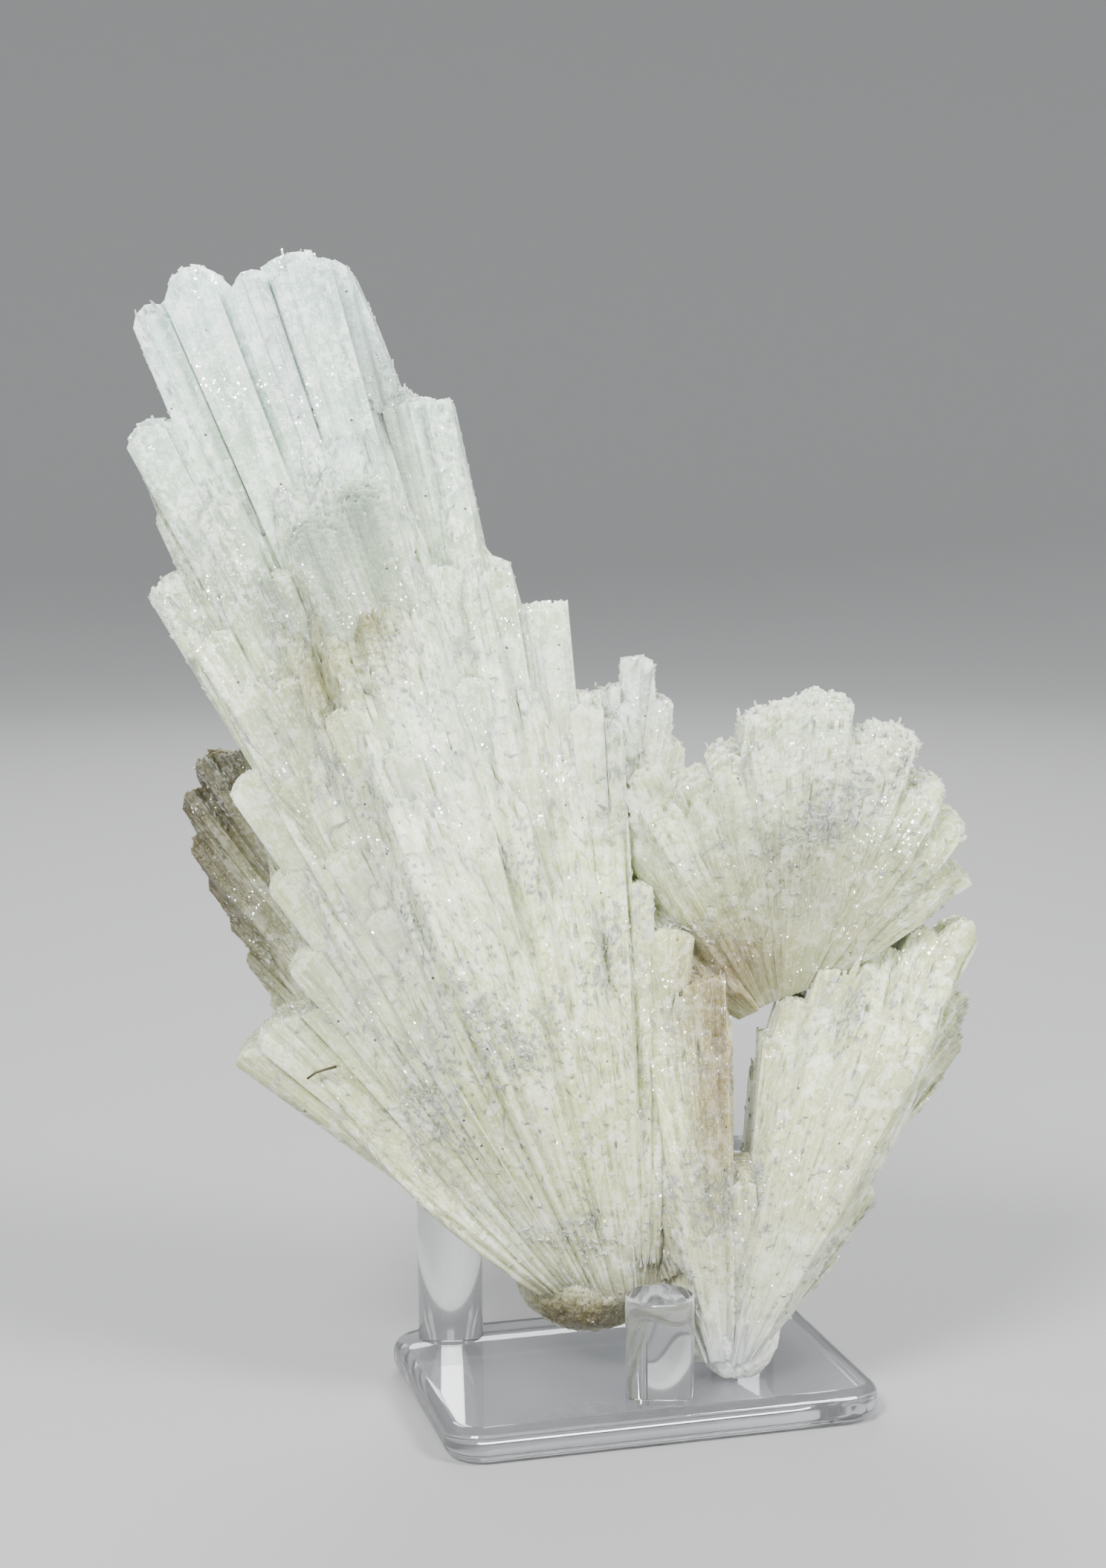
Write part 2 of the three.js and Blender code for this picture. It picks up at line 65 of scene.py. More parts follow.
# ---- the sprays ----
# feet: the ends of the foot line. depth: thickness of the full-length rows. start: how far out the
# columns begin. leans: first and last, in degrees. steps: degrees between columns in bearing, front
# lean and back lean. rugged: share of the solid's own unevenness. smoothed: degrees over which the
# faces are evened. broken: shares by which groups of blades and rods fall short. relief: width and
# height of the blades in a face. crumble: mm that ends crumble. crown: how far the faces bend back
# at each crystal's sides. alone: a single crystal, whose end slants forward by slant. outline: tips
# from left to right: x, z, y, width, rounding.
HABIT = {
    "depth": 8, "start": 2.0, "rugged": 0.30, "smoothed": (1.8, 2.6), "broken": (0.04, 0.03),
    "relief": ((4.0, 0.4), (1.6, 0.16)), "crumble": 0.4, "crown": 0.0, "alone": False,
}
SPRAYS = {
    "great_fan": {
        "feet": ((-11, -4, 16), (3.6, -4, 13)), "depth": 13, "start": 3, "leans": (-28, 22),
        "steps": (0.36, 0.55, 1.2), "rugged": 0.08, "broken": (0.015, 0.01),
        "relief": ((6, 0.22), (2, 0.08)), "crumble": 0.35, "crown": 1, "outline": (
            (-54, 52.8, -3, 5, 1.5), (-50.6, 56.7, -3, 5, 1.2), (-46.4, 57.8, -2, 5, 0.8),
            (-41.6, 54.4, -2, 5, 1), (-45.8, 66.6, 0, 6, 1), (-48.2, 78, 0, 6, 1.2),
            (-52.8, 91.4, 1, 7, 1.4), (-57.4, 110.6, 2, 6, 1), (-64.4, 117.8, 4, 5, 1.2),
            (-64.4, 126.6, 5, 3.4, 1.5), (-66.4, 138.8, 5, 6.6, 1.4), (-60.8, 137.6, 4, 6, 0.8),
            (-65.4, 154.4, 10, 5.2, 2.6), (-60.2, 159.4, 9, 8, 3), (-51.6, 158.8, 8, 5.4, 1.4),
            (-46.4, 160.8, 8, 6, 0.6), (-41.4, 160, 8, 6, 2.2), (-36, 152, 8, 3.4, 1.2),
            (-31.2, 142.4, 9, 4, 1.2), (-26.6, 140.6, 4, 6, 0.3), (-18.4, 119.2, 4, 5, 0.9),
            (-14.2, 112.2, 2, 4, 0.8), (-10.2, 110, 4, 4.6, 0.6), (-5.6, 100.4, 4, 4.6, 0.4),
            (-2.2, 97, 2, 4.4, 1), (1.8, 75, -1, 4, 0.6), (6.6, 68.6, -3, 5, 0.8),
        ),
    },
    "centre_column": {
        "feet": ((9.6, -7, 5.5), (15, -7, 5)), "depth": 12, "start": 3, "leans": (-20, 26),
        "steps": (0.6, 1, 1.5), "rugged": 0.05, "broken": (0.012, 0.012),
        "relief": ((2.5, 0.12), (1.2, 0.06)), "crumble": 0.3, "outline": (
            (1, 22, -2, 3.6, 0.5), (0.6, 31, -3, 4.4, 0.5), (1.8, 42, -4, 5, 0.5), (3.8, 52, -4, 5, 0.6),
            (6.2, 58.4, -3, 5, 0.6), (8.4, 61.2, -3, 5, 0.5), (10.4, 61.8, -2, 4.4, 0.4),
            (11.8, 61.2, -1, 2.8, 0.3), (13.8, 36, -4, 2, 0.4), (16.4, 30, -4, 3, 0.4),
        ),
    },
    "notch_column": {
        "feet": ((13.6, -9, 6), (16, -9, 6)), "start": 10, "leans": (-5, 5), "steps": (0.6, 0.8, 0.8),
        "relief": ((2, 0.15), (1, 0.08)), "slant": 3, "alone": True, "outline": (
            (14.4, 31, -10, 1.8, 0.5), (15.7, 37.6, -10.2, 1.8, 0.6), (16.8, 32.5, -10, 1.8, 0.5),
        ),
    },
    "right_fan": {
        "feet": ((13.4, -7, 4.5), (16, -6, 6.5)), "depth": 10, "start": 3, "leans": (-22, 42),
        "steps": (0.55, 0.9, 1.5), "rugged": 0.04, "smoothed": (2.5, 3), "broken": (0.015, 0.012),
        "relief": ((3.5, 0.14), (1.4, 0.07)), "crumble": 0.35, "outline": (
            (19.8, 53, -2, 2.6, 0.6), (23.4, 58, -1, 4, 0.8), (29.4, 62, 0, 6, 0.6), (35.6, 65, 0, 6, 0.6),
            (41.6, 67, 0, 5, 0.8), (47, 68.4, 0, 4.4, 1.6), (44.2, 57.2, 1, 4, 0.8),
            (40.4, 47.6, 1, 4, 0.8), (36.4, 39.4, 1, 4, 0.8), (33.2, 31.4, 0, 3.6, 1),
            (27.8, 22.6, -1, 3.6, 0.8), (21.2, 15.2, -3, 2.6, 0.8),
        ),
    },
    "upper_right_fan": {
        "feet": ((16, 5, 54), (28, 1, 60)), "depth": 9, "start": 0.6, "leans": (-24, 36),
        "steps": (0.8, 1, 1.8), "rugged": 0.04, "smoothed": (3, 3), "broken": (0.012, 0.012),
        "relief": ((4, 0.14), (1.5, 0.07)), "crumble": 0.7, "outline": (
            (0.6, 66.5, 1, 4, 0.5), (-1.2, 72, 1, 4, 0.5), (-2.4, 78, 0, 4, 0.5), (-2, 84, -2, 4, 0.5),
            (1, 90.4, -2, 4.6, 0.8), (8.6, 90, -3, 4, 0.8), (13.2, 93.6, -4, 4.4, 1),
            (18, 98.2, -3, 4.4, 0.8), (22.2, 99.4, -3, 3.8, 0.8), (26.6, 101.2, -2, 4, 0.9),
            (30, 100.8, -2, 3, 0.4), (34, 96, -2, 3.4, 0.4), (38, 96.8, -2, 5, 0.5),
            (43, 89.6, -2, 4.4, 0.4), (46, 84.6, -2, 4.4, 0.8), (46.8, 76.4, 0, 4.4, 0.6),
        ),
    },
    "top_spray": {
        "feet": ((-3, 8, 64), (1, 8, 62)), "leans": (-25, 26), "steps": (1, 1.6, 2),
        "broken": (0.04, 0.04), "relief": ((3, 0.3), (1.4, 0.14)), "crumble": 0.8, "outline": (
            (-3.6, 100.6, 9, 3.2, 0.6), (-0.4, 101.2, 9, 3, 0.3), (2.4, 104.8, 10, 3.6, 0.6),
            (5.8, 99, 10, 3.4, 0.8), (7.4, 92.8, 10, 3.4, 0.6), (10.6, 87.4, 9, 3.8, 0.5),
        ),
    },
    "back_left_fan": {
        "feet": ((-17, 2, 24), (-12, 3, 26)), "leans": (-14, 22), "steps": (0.6, 1.2, 1.4), "outline": (
            (-46, 51, 14, 4, 0.8), (-50, 57, 15, 4.4, 1.2), (-53.4, 62.8, 15, 4.4, 1.4),
            (-55.8, 68.6, 16, 4.4, 1.4), (-58.4, 74, 16, 4.4, 1.4), (-60.2, 80, 16, 4.4, 1.4),
            (-61, 86, 16, 4.4, 1.4), (-58.6, 91.6, 16, 5, 1.6), (-50, 95, 17, 7, 1), (-40, 93, 18, 8, 1),
            (-29, 86, 18, 8, 1),
        ),
    },
    "back_right_fan": {
        "feet": ((19, 3, 18), (21, 4, 18)), "start": 1, "leans": (-14, 16), "steps": (1, 1.4, 1.6),
        "outline": (
            (28, 60, 15, 6, 0.8), (36, 60.6, 16, 6, 0.8), (43, 59.4, 16, 5, 0.8),
            (48.2, 54.8, 16, 3.8, 1.2), (47.6, 49.4, 15, 3.8, 1.2), (45, 44.6, 15, 3.8, 1.2),
            (42, 40.6, 14, 3.8, 1),
        ),
    },
}

FOOT_SPREAD = 0.22      # mm by which a row's feet move for each degree of lean
CRYSTAL_OVERLAP = 1.15  # half widths to which an outline crystal reaches
ROUNDED_TO = 1.2        # half widths to which its end is rounded
RADIUS_SNAP = 0.02      # mm: ends closer than this along an edge are one point
RAY_STEP = 0.001        # mm by which a ray goes on past a face
BRIDGED_GAP = 1.2       # mm of air that a column still crosses
LATE_START = 25.0       # mm before a ray has to be in the solid
MOST_WALLS = 16         # faces of the solid that a ray may cross
PEG_NODES = ("front_peg", "rear_left_peg", "rear_right_peg")
PEG_CLEARANCE = 0.5     # mm kept between the crystals and a peg
PUSHES = 6              # times that crystals are moved off the pegs
EDGE_SAMPLES = 9        # points on each edge that are tested for it
BOX_MARGIN = 0.15       # mm kept clear inside the part's box
COARSER_FROM = 3.0      # degrees of lean from which the rows are coarser
BACK_LEAN = 2.0         # degrees of lean from which the ends are crisper
BACK_CRISP = 0.985      # share of the solid's reach that is kept there
INNER_SHARE = 0.985     # share of the outline's reach that rows inside may have
MIDDLE_SHARE = 0.40     # share of the depth, each way, that reaches the outline
LEAST_SMOOTHING = 0.6   # columns or rows
SHORTEST = 8            # mm: shorter columns are left out
BROKEN_FINE = 0.006     # share by which a single crystal's columns differ
BROKEN_ROUND = 0.5      # mm by which its end falls off to the front and back
FINE_BREAKS = (0.008, 0.025, 0.05)    # share for every end, share for some ends, how many
CRISP_SHARES = (0.3, 0.5)             # what the middle keeps of rods' and fine breaks
GROUP_SIZES = ((7, 3.0), (2.0, 1.2))  # mm across and deep: groups of blades, of rods
GROUP_SHARES = (1.0, 0.7)             # how many of them fall short
UNEVEN = (0.5, 1.5)     # steps between which columns' widths vary
LEAST_ROW = 0.12        # share of a row's step that is kept between two rows
LEAN_JITTER = 0.06      # shares of a step by which rows and columns vary
BEARING_JITTER = 0.10
EDGE_INSET = 0.04       # share of a column's width at which its sides are measured
END_TILT = 0.06         # mm by which an end tilts
PLACE_ROUNDS = 6        # rounds in which a front blade's bearing settles
BLADE_BACK = 0.96       # share of a front blade's reach at which its face is found
BLADE_START = 0.55      # share of its reach at which it begins
LEVEL_ROUNDS = 4        # rounds in which crossing ends are made level
CROWN_LEAN = 5          # degrees of lean from which the crown is whole
BLADE_LENGTH = 2.6      # depth of the blades in a face, in widths
BLADE_SLOPE = 0.25      # their slope, as a share of their height
BLADE_STEPS = (0.3, 0.5, 0.5)
BLADE_RELIEF = ((0.6, 0.12), (1.2, 0.06))  # a front blade's; the first 0.6 is in widths
SPRAY_SEED, BLADE_SEED, SPLINTER_SEED = 100, 300, 500
CORNERS = ((0, 0), (1, 0), (1, 1), (0, 1))
SIDES = ((1, 0), (0, 1), (-1, 0), (0, -1))

# ---- loose slivers and chips on the sprays' faces, in mm ----
SPLINTERS = 16000
SLIVER_LENGTH = (0.75, 0.5, 2.6)  # usual, spread, longest
SLIVER_WIDTH = (0.15, 0.45)
CHIP_SHARE = 0.35
CHIP_LENGTH = (0.35, 0.8)
CHIP_WIDTH = (0.4, 1.0)
SPLINTER_THICK = (0.12, 0.36)
SPLINTER_STRAY = (0.12, 0.11)     # how far they turn sideways and outwards
SPLINTER_WHITENESS = 0.85
GRAIN_SHIFT = 0.37      # so that each has its own streaks
SPLINTER_TWIST = 0.4    # radians
SPLINTER_BACK = 0.6     # share of the length that lies behind the place
SPLINTER_SLANT = 0.3    # of the end, as a share of the length
SPLINTER_TAPER = 0.7    # width of the start, as a share of the end's
SIDE_ON = 0.6           # they lie on faces that run along the crystals
BARE_FOOT = 12          # and not so near to the foot
PATCH_SCALE = 90        # how fine their patches are
PATCH_LEAST = 0.15      # how many lie between the patches
PATCH_RICH = 8          # and how many in them
BOX_FACES = ((0, 3, 2, 1), (4, 5, 6, 7), (0, 1, 5, 4), (1, 2, 6, 5), (2, 3, 7, 6), (3, 0, 4, 7))

# Crystals on the great fan's front face: tip x, z, how far it stands out of the face (or, if
# negative, the tip's y), width, depth, how far the end slants down, rounding of the end.
FRONT_BLADES = (
    (-36.6, 131.4, -8.4, 8.4, 6, 3.4, 1.6), (-43.2, 126.8, -8.2, 7.2, 6, 2.4, 1.4),
    (-12, 113.5, 0.8, 8, 4, 0.3, 0.3), (-46.5, 90.5, 0.7, 7, 4, 0.6, 0.8),
    (-52.6, 103, 0.8, 6, 4, 0.6, 0.6), (-38, 101, 0.7, 6, 4, 0.6, 0.8), (-26, 119, 1.4, 7, 4, 0.6, 0.6),
    (-30.5, 96, 0.7, 5, 4, 0.6, 0.6), (-49, 118, 0.8, 6, 4, 0.6, 0.9), (-22, 104, 0.7, 6, 4, 0.6, 0.5),
    (-39, 82, 0.6, 5, 4, 0.6, 0.6), (-15, 92, 0.7, 5, 4, 0.6, 0.6), (-56, 128, 1, 6, 4, 0.8, 1),
    (-47, 104, 1.2, 5, 4, 0.6, 0.6), (-34, 74, 0.6, 4.6, 4, 0.6, 0.6), (-20, 82, 0.6, 4.6, 4, 0.6, 0.6),
    (-65.2, 153.8, 1.2, 5, 5, 0.4, 2.6), (-60.2, 158.9, 2, 7.4, 6, 0.4, 3),
    (-51.5, 158.2, 0.9, 5.6, 5, 0.4, 1.4), (-44.4, 160.3, 1.8, 8.6, 6, 0.5, 1.2),
    (-29.6, 141.2, 1.3, 7.4, 5, 0.4, 0.4), (-66, 138.2, 1.2, 6, 5, 0.4, 1.4),
    (-57.2, 110, 1.3, 6, 5, 0.5, 1), (-52.6, 90.8, 1.3, 6.4, 5, 0.5, 1.2),
    (-48, 77.4, 1.1, 5.6, 5, 0.5, 1.2), (-45.6, 66, 1.1, 5.6, 5, 0.5, 1),
    (-50.6, 56.2, 0.9, 5, 4, 0.5, 1.2), (-18.2, 118.6, 1.2, 5, 5, 0.4, 0.8),
    (-10.4, 109.4, 1.2, 4.6, 5, 0.4, 0.6), (-5.6, 99.8, 1, 4.6, 4, 0.4, 0.4),
)

# The two rounded lumps that the fans grew from: centre, half size, unevenness, lowest z.
LUMPS = {
    "knob": ((-5.8, -3.5, 19.3), (10.6, 7.6, 8.8), 0.35, 5.2),
    "resting_tip": ((14.9, -7.0, 11.0), (6.0, 4.7, 6.6), 0.45, 5.15),
}
LUMP_BUMPS = (((0.3, 1.0), (0.9, 0.6)), ((2.4, 0.3), (5.0, 0.12)))  # how fine, how high

# Strands of dirt that lie on the crystals: points x, z seen from the front, radius, how far
# the strand's middle is from the solid, colour.
STRANDS = {
    "brown_fibre": (((-44.2, 49.0), (-43.0, 49.9), (-41.8, 50.3), (-40.4, 50.3)),
                    0.19, 1.0, (0.06, 0.05, 0.02)),
    "lint": (((30.6, 65.4), (31.2, 66.8), (31.8, 68.2), (32.8, 69.4), (33.0, 70.6),
              (32.2, 70.8), (31.6, 69.8), (31.8, 68.4), (31.4, 67.2)),
             0.09, 1.9, (0.40, 0.33, 0.22)),
}

STRANDS_FROM = -60      # y in front of the solid
STRAND_ANGLES = (0, 1.05, 2.09, 3.14, 4.19, 5.24)

# ---- the stand, in mm ----
ACRYLIC = {"Roughness": 0.03, "IOR": 1.49}
PLATE_CORNER_RADIUS = 5.5
PLATE_EDGE_ROUND = 1.9
PLATE_RIM = 0.3         # flat rim inside the rounded edge
LEAST_RADIUS = 0.2      # of the rings' corners
CORNER_STEPS = 16
EDGE_STEPS = 8
PEG_BEVEL = 0.35
PEG_FOOT_BEVEL = 0.2    # of the bevel on top
BEVEL_ANGLES = (0.4, 0.8, 1.2, math.pi / 2)
PEG_SIDES = 72
PEG_GAP = 0.02          # a hair of air between a peg and the plate, so that both stay closed

# Colour by height in mm, and zones: centre, half size, colour, how clear, how dirty.
# Paler towards the bottom: painted light that makes up for the shade the lower faces get; warmer below and
# cooler above is the crystals' own tone.
TINT_BY_HEIGHT = (
    (8, (0.96, 1.0, 0.66)), (40, (0.95, 1.0, 0.57)), (80, (0.86, 0.94, 0.54)),
    (115, (0.74, 0.86, 0.60)), (140, (0.67, 0.86, 0.74)), (160, (0.64, 0.87, 0.81)),
)
MILKINESS = 0.8         # share of the light that is scattered inside
CHIP_MILKINESS = 0.1
CLEARNESS = 0.06
FROST = (0.93, 0.97, 0.93)
FULLY_PALE = 0.8        # brightness at which a splinter is as white as it gets
COOL = (0.78, 0.90, 0.82)
PALEST = (0.97, 0.99, 0.93)
SPECK = (0.05, 0.045, 0.03)
GRIME = (0.13, 0.10, 0.045)
ZONES = (
    # Painted shade: olive darkening of the hollow below the two front crystals, with a little dirt.
    ((-36, -10, 112), (6, 12, 8), (0.34, 0.33, 0.13), 0.2, 0.14),
    ((-41, -12, 103), (6, 12, 9), (0.5, 0.5, 0.24), 0.16, 0.2),
    ((-36.6, -11, 128.5), (4.2, 5, 3.2), (0.36, 0.46, 0.36), 0.24, 0),
    ((-43.2, -10, 124), (3.6, 5, 3), (0.42, 0.52, 0.42), 0.22, 0),
    ((-33, 5, 138), (3, 9, 8), (0.5, 0.54, 0.48), 0.5, 0),
    # Painted shade with a warm peach tone: the shaded underside of the upper right fan.
    ((14.5, -6.5, 62), (9, 9, 8), (0.46, 0.36, 0.16), 0.16, 0),
    ((14.5, -5, 60), (6, 8, 5), (0.42, 0.32, 0.14), 0.16, 0),
    ((11.8, -9, 44), (4.4, 10, 19), (0.42, 0.37, 0.19), 0.16, 0.1),
    ((12.4, -9, 50), (3, 10, 12), (0.4, 0.33, 0.16), 0.16, 0.1),
    ((5, -9, 22), (3, 6, 9), (0.6, 0.58, 0.36), 0.12, 0.3),
    # Painted shade: the back left fan darkened and browned where it lies in shadow behind the great fan.
    ((-59, 13, 76), (16, 9, 36), (0.15, 0.13, 0.06), 0.19, 0),
    ((-58, 13, 82), (13, 9, 28), (0.13, 0.11, 0.05), 0.19, 0),
    ((-50, -3, 55), (8, 8, 8), (0.64, 0.68, 0.4), 0.1, 0.1),
    ((48, 15, 48), (8, 7, 10), (0.32, 0.34, 0.18), 0.15, 0),
    ((23, -10, 76), (9, 7, 8), (0.64, 0.65, 0.38), 0.1, 0.42),
    ((2, 6, 101), (8, 8, 9), (0.88, 0.94, 0.88), 0.06, 0),
    # Painted light: the resting foot kept near white, as if lit, though the fans above shade it.
    ((14.2, -9, 8), (7, 9, 7), (0.98, 0.99, 0.95), 0, 0),
    ((-8, -10, 14), (13, 9, 5), (0.3, 0.27, 0.12), 0.18, 1),
    ((-8, -9, 13), (10, 8, 4), (0.26, 0.23, 0.1), 0.18, 1),
)
# Patches that glitter more: centre, half size.
SPARKLES = (
    ((37, -10, 81), (5, 9, 6)), ((19.5, -11, 50), (1.8, 6, 11)), ((15.6, -11, 34), (2.2, 6, 4)),
    ((33, -6, 97), (9, 8, 4)), ((3.4, -9, 56), (2.4, 8, 14)), ((12, -9, 62), (3, 8, 5)),
)

# ---- the stage, in metres ----
FLOOR_LEVEL = -0.0002
FLOOR_RADIUS = 0.9
SWEEP_RADIUS = 0.7
SWEEP_STEPS = 12
WALL_HEIGHT = 1.5
STAGE_SIDES = 96
SKY = (0.92, 0.97, 1.0)
LIT_POINT = (0, 0, 0.08)
# Lights: name, place, power in watts, size.
LIGHTS = (
    ("key", (-0.42, -0.47, 0.64), 17.5, 0.26),
    ("fill", (0.40, -0.52, 0.58), 13.5, 0.26),
    ("back", (0.10, 0.66, 0.62), 9.0, 0.45),
)

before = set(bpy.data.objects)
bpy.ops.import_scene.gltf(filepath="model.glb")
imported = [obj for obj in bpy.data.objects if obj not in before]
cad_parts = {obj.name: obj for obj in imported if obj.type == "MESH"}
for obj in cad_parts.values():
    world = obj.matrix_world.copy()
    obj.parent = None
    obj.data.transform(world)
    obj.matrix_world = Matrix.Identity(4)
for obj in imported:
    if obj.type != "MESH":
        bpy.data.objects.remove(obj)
cad_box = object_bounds()


# ---- small helpers ----
def rotated(points, angle):
    cosine, sine = math.cos(angle), math.sin(angle)
    x, y, z = points[..., 0], points[..., 1], points[..., 2]
    return np.stack([x * cosine - y * sine, x * sine + y * cosine, z], axis=-1)


def turned(points):
    """Points in the specimen's axes, in mm, put into the row frame, in metres."""
    return rotated(points, SPECIMEN_TURN) * MM


def read(items, field, width, kind=float):
    """A row of numbers for each vertex, edge or triangle."""
    values = np.zeros(len(items) * width, kind)
    items.foreach_get(field, values)
    return values.reshape(-1, width)


def new_mesh(name, vertices, faces, grain=None):
    mesh = bpy.data.meshes.new(name)
    mesh.from_pydata([tuple(vertex) for vertex in vertices], [], faces)
    if grain is not None:
        add_values(mesh, "grain", "FLOAT_VECTOR", "vector", grain)
    return mesh


def add_values(mesh, name, kind, field, values):
    """A value at every point of the mesh, for its material."""
    attribute = mesh.attributes.new(name, kind, "POINT")
    attribute.data.foreach_set(field, np.array(values, np.float32).ravel())


def new_object(name, mesh):
    piece = bpy.data.objects.new(name, mesh)
    bpy.context.scene.collection.objects.link(piece)
    return piece


def specimen_tree():
    """The specimen's solid as a search tree, in its own axes, in mm."""
    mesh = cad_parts["scolecite"].data
    turn_back = Matrix.Rotation(-SPECIMEN_TURN, 4, "Z") @ Matrix.Scale(1 / MM, 4)
    points = [turn_back @ vertex.co for vertex in mesh.vertices]
    return BVHTree.FromPolygons(points, [tuple(face.vertices) for face in mesh.polygons])


# ---- the camera ----
def make_camera():
    data = bpy.data.cameras.new("camera")
    data.sensor_fit = "VERTICAL"
    data.sensor_height = SENSOR_HEIGHT
    data.lens = LENS
    data.clip_start = 0.01
    data.clip_end = 20
    camera = new_object("camera", data)
    turn = Matrix.Rotation(CAMERA_TURN, 4, "Z")
    pitch = Matrix.Rotation(math.pi / 2 - CAMERA_PITCH, 4, "X")
    roll = Matrix.Rotation(CAMERA_ROLL, 4, "Z")
    camera.matrix_world = Matrix.Translation(Vector(CAMERA_AT) * MM) @ turn @ pitch @ roll
    bpy.context.scene.camera = camera


# ---- the sprays' columns ----
class Spray:
    """Bearings, reaches and feet of one spray, worked out from its outline crystals."""

    def __init__(self, spec):
        self.spec = spec = HABIT | spec
        self.left, self.right = (np.array(foot, float) for foot in spec["feet"])
        tips = np.array([crystal[:3] for crystal in spec["outline"]], float)[:, [0, 2, 1]]
        share = np.linspace(0, 1, len(tips))[:, None]
        feet = self.left + (self.right - self.left) * share
        away = tips - feet
        self.bearing = np.degrees(np.arctan2(away[:, 0], away[:, 2]))
        self.reach = np.linalg.norm(away, axis=1)
        width, self.rounding = np.array([crystal[3:] for crystal in spec["outline"]], float).T
        self.half = np.degrees(width / 2 / self.reach)
        self.degree = np.degrees(1 / np.median(self.reach))
        self.first = (self.bearing - self.half).min()
        self.last = (self.bearing + self.half).max()
        order = np.argsort(self.bearing)
        self.levels = self.bearing[order], (away[:, 1] / self.reach)[order]

    def crystal_at(self, bearing):
        """The longest outline crystal at a bearing: its reach, how far off it is, and which."""
        off = np.abs(self.bearing - bearing) / self.half
        covering = off <= max(CRYSTAL_OVERLAP, off.min())
        off = np.minimum(off, ROUNDED_TO)
        ends = self.reach - self.rounding * off ** 2
        longest = np.argmax(np.where(covering, ends, -1))
        return ends[longest], off[longest], longest

    def outline_over(self, bearings):
        return np.array([self.crystal_at(bearing)[0] for bearing in bearings])

    def rays(self, bearing, lean):
        """Where the rays of these bearings and leans start, and their directions."""
        share = np.clip((bearing - self.first) / (self.last - self.first), 0, 1)[..., None]
        start = self.left + (self.right - self.left) * share
        start = start + np.stack([0 * lean, lean * FOOT_SPREAD, 0 * lean], axis=-1)
        angle = np.radians(bearing)
        back = np.interp(bearing, *self.levels) + np.tan(np.radians(lean))
        direction = np.stack([np.sin(angle), back, np.cos(angle)], axis=-1)
        return start, direction / np.linalg.norm(direction, axis=-1, keepdims=True)


def uneven_edges(first, last, step, rng):
    """Edges from first to last whose steps vary."""
    count = max(2, round((last - first) / step))
    steps = rng.uniform(*UNEVEN, count)
    return first + (last - first) * np.concatenate([[0], np.cumsum(steps) / steps.sum()])


def between(edges):
    return (edges[:-1] + edges[1:]) / 2


def solid_reach(tree, start, direction, longest):
    """How far a ray from start stays inside the solid."""
    position, gone, reach = Vector(start), 0.0, 0.0
    heading = Vector(direction)
    for _ in range(MOST_WALLS):
        hit, normal, _, distance = tree.ray_cast(position, heading)
        if hit is None or gone >= longest:
            break
        gone += distance + RAY_STEP
        if normal.dot(heading) > 0:
            reach = min(gone, longest)
        elif reach > 0 and gone - reach > BRIDGED_GAP or reach == 0 and gone > LATE_START:
            break
        position = hit + heading * RAY_STEP
    return reach


def peg_walls():
    """Each peg's middle, and the radius and height that the crystals keep out of."""
    for node in PEG_NODES:
        low, high = (np.array(corner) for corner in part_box(node))
        radius = (high[0] - low[0]) / 2 + PEG_CLEARANCE * MM
        yield (low + high)[:2] / 2, radius, high[2] + PEG_CLEARANCE * MM


def beside_pegs(points):
    """Which points are in a peg or closer to it than PEG_CLEARANCE."""
    x, y, z = np.moveaxis(turned(points), -1, 0)
    blocked = np.zeros(x.shape, bool)
    for middle, radius, top in peg_walls():
        blocked |= (np.hypot(x - middle[0], y - middle[1]) < radius) & (z < top)
    return blocked


def seed_groups(bearing, lean, size, rng):
    """Random seeds about size apart, and which is nearest to each cell."""
    low = np.array([bearing.min(), lean.min()])
    high = np.array([bearing.max(), lean.max()])
    size = np.array(size)
    count = int(np.prod((high - low) / size)) + 2
    seeds = low + (high - low) * rng.random((count, 2))
    tree = kdtree.KDTree(count)
    for index, seed in enumerate(seeds / size):
        tree.insert((seed[0], seed[1], 0), index)
    tree.balance()
    nearest = np.zeros(bearing.shape, int)
    for place in np.ndindex(bearing.shape):
        nearest[place] = tree.find((bearing[place] / size[0], lean[place] / size[1], 0))[1]
    return seeds, nearest


def fall_short(bearing, lean, size, most, often, rng):
    """Shares by which ends fall short, up to most, alike within each group."""
    seeds, nearest = seed_groups(bearing, lean, size, rng)
    return ((rng.random(len(seeds)) < often) * rng.random(len(seeds)) * most)[nearest]


def evened(values, steps, smoothed):
    """Values smoothed along both axes, falling to nothing before the first and last rows."""
    for axis, (sigma, step) in enumerate(zip(smoothed, steps)):
        width = max(LEAST_SMOOTHING, sigma / step)
        reach = int(3 * width) + 1
        kernel = np.exp(-0.5 * (np.arange(-reach, reach + 1) / width) ** 2)
        pad = [(reach, reach) if axis == k else (0, 0) for k in (0, 1)]
        padded = np.pad(values, pad, mode=("edge", "constant")[axis])
        kernel /= kernel.sum()
        values = np.apply_along_axis(np.convolve, axis, padded, kernel, mode="valid")
    return values


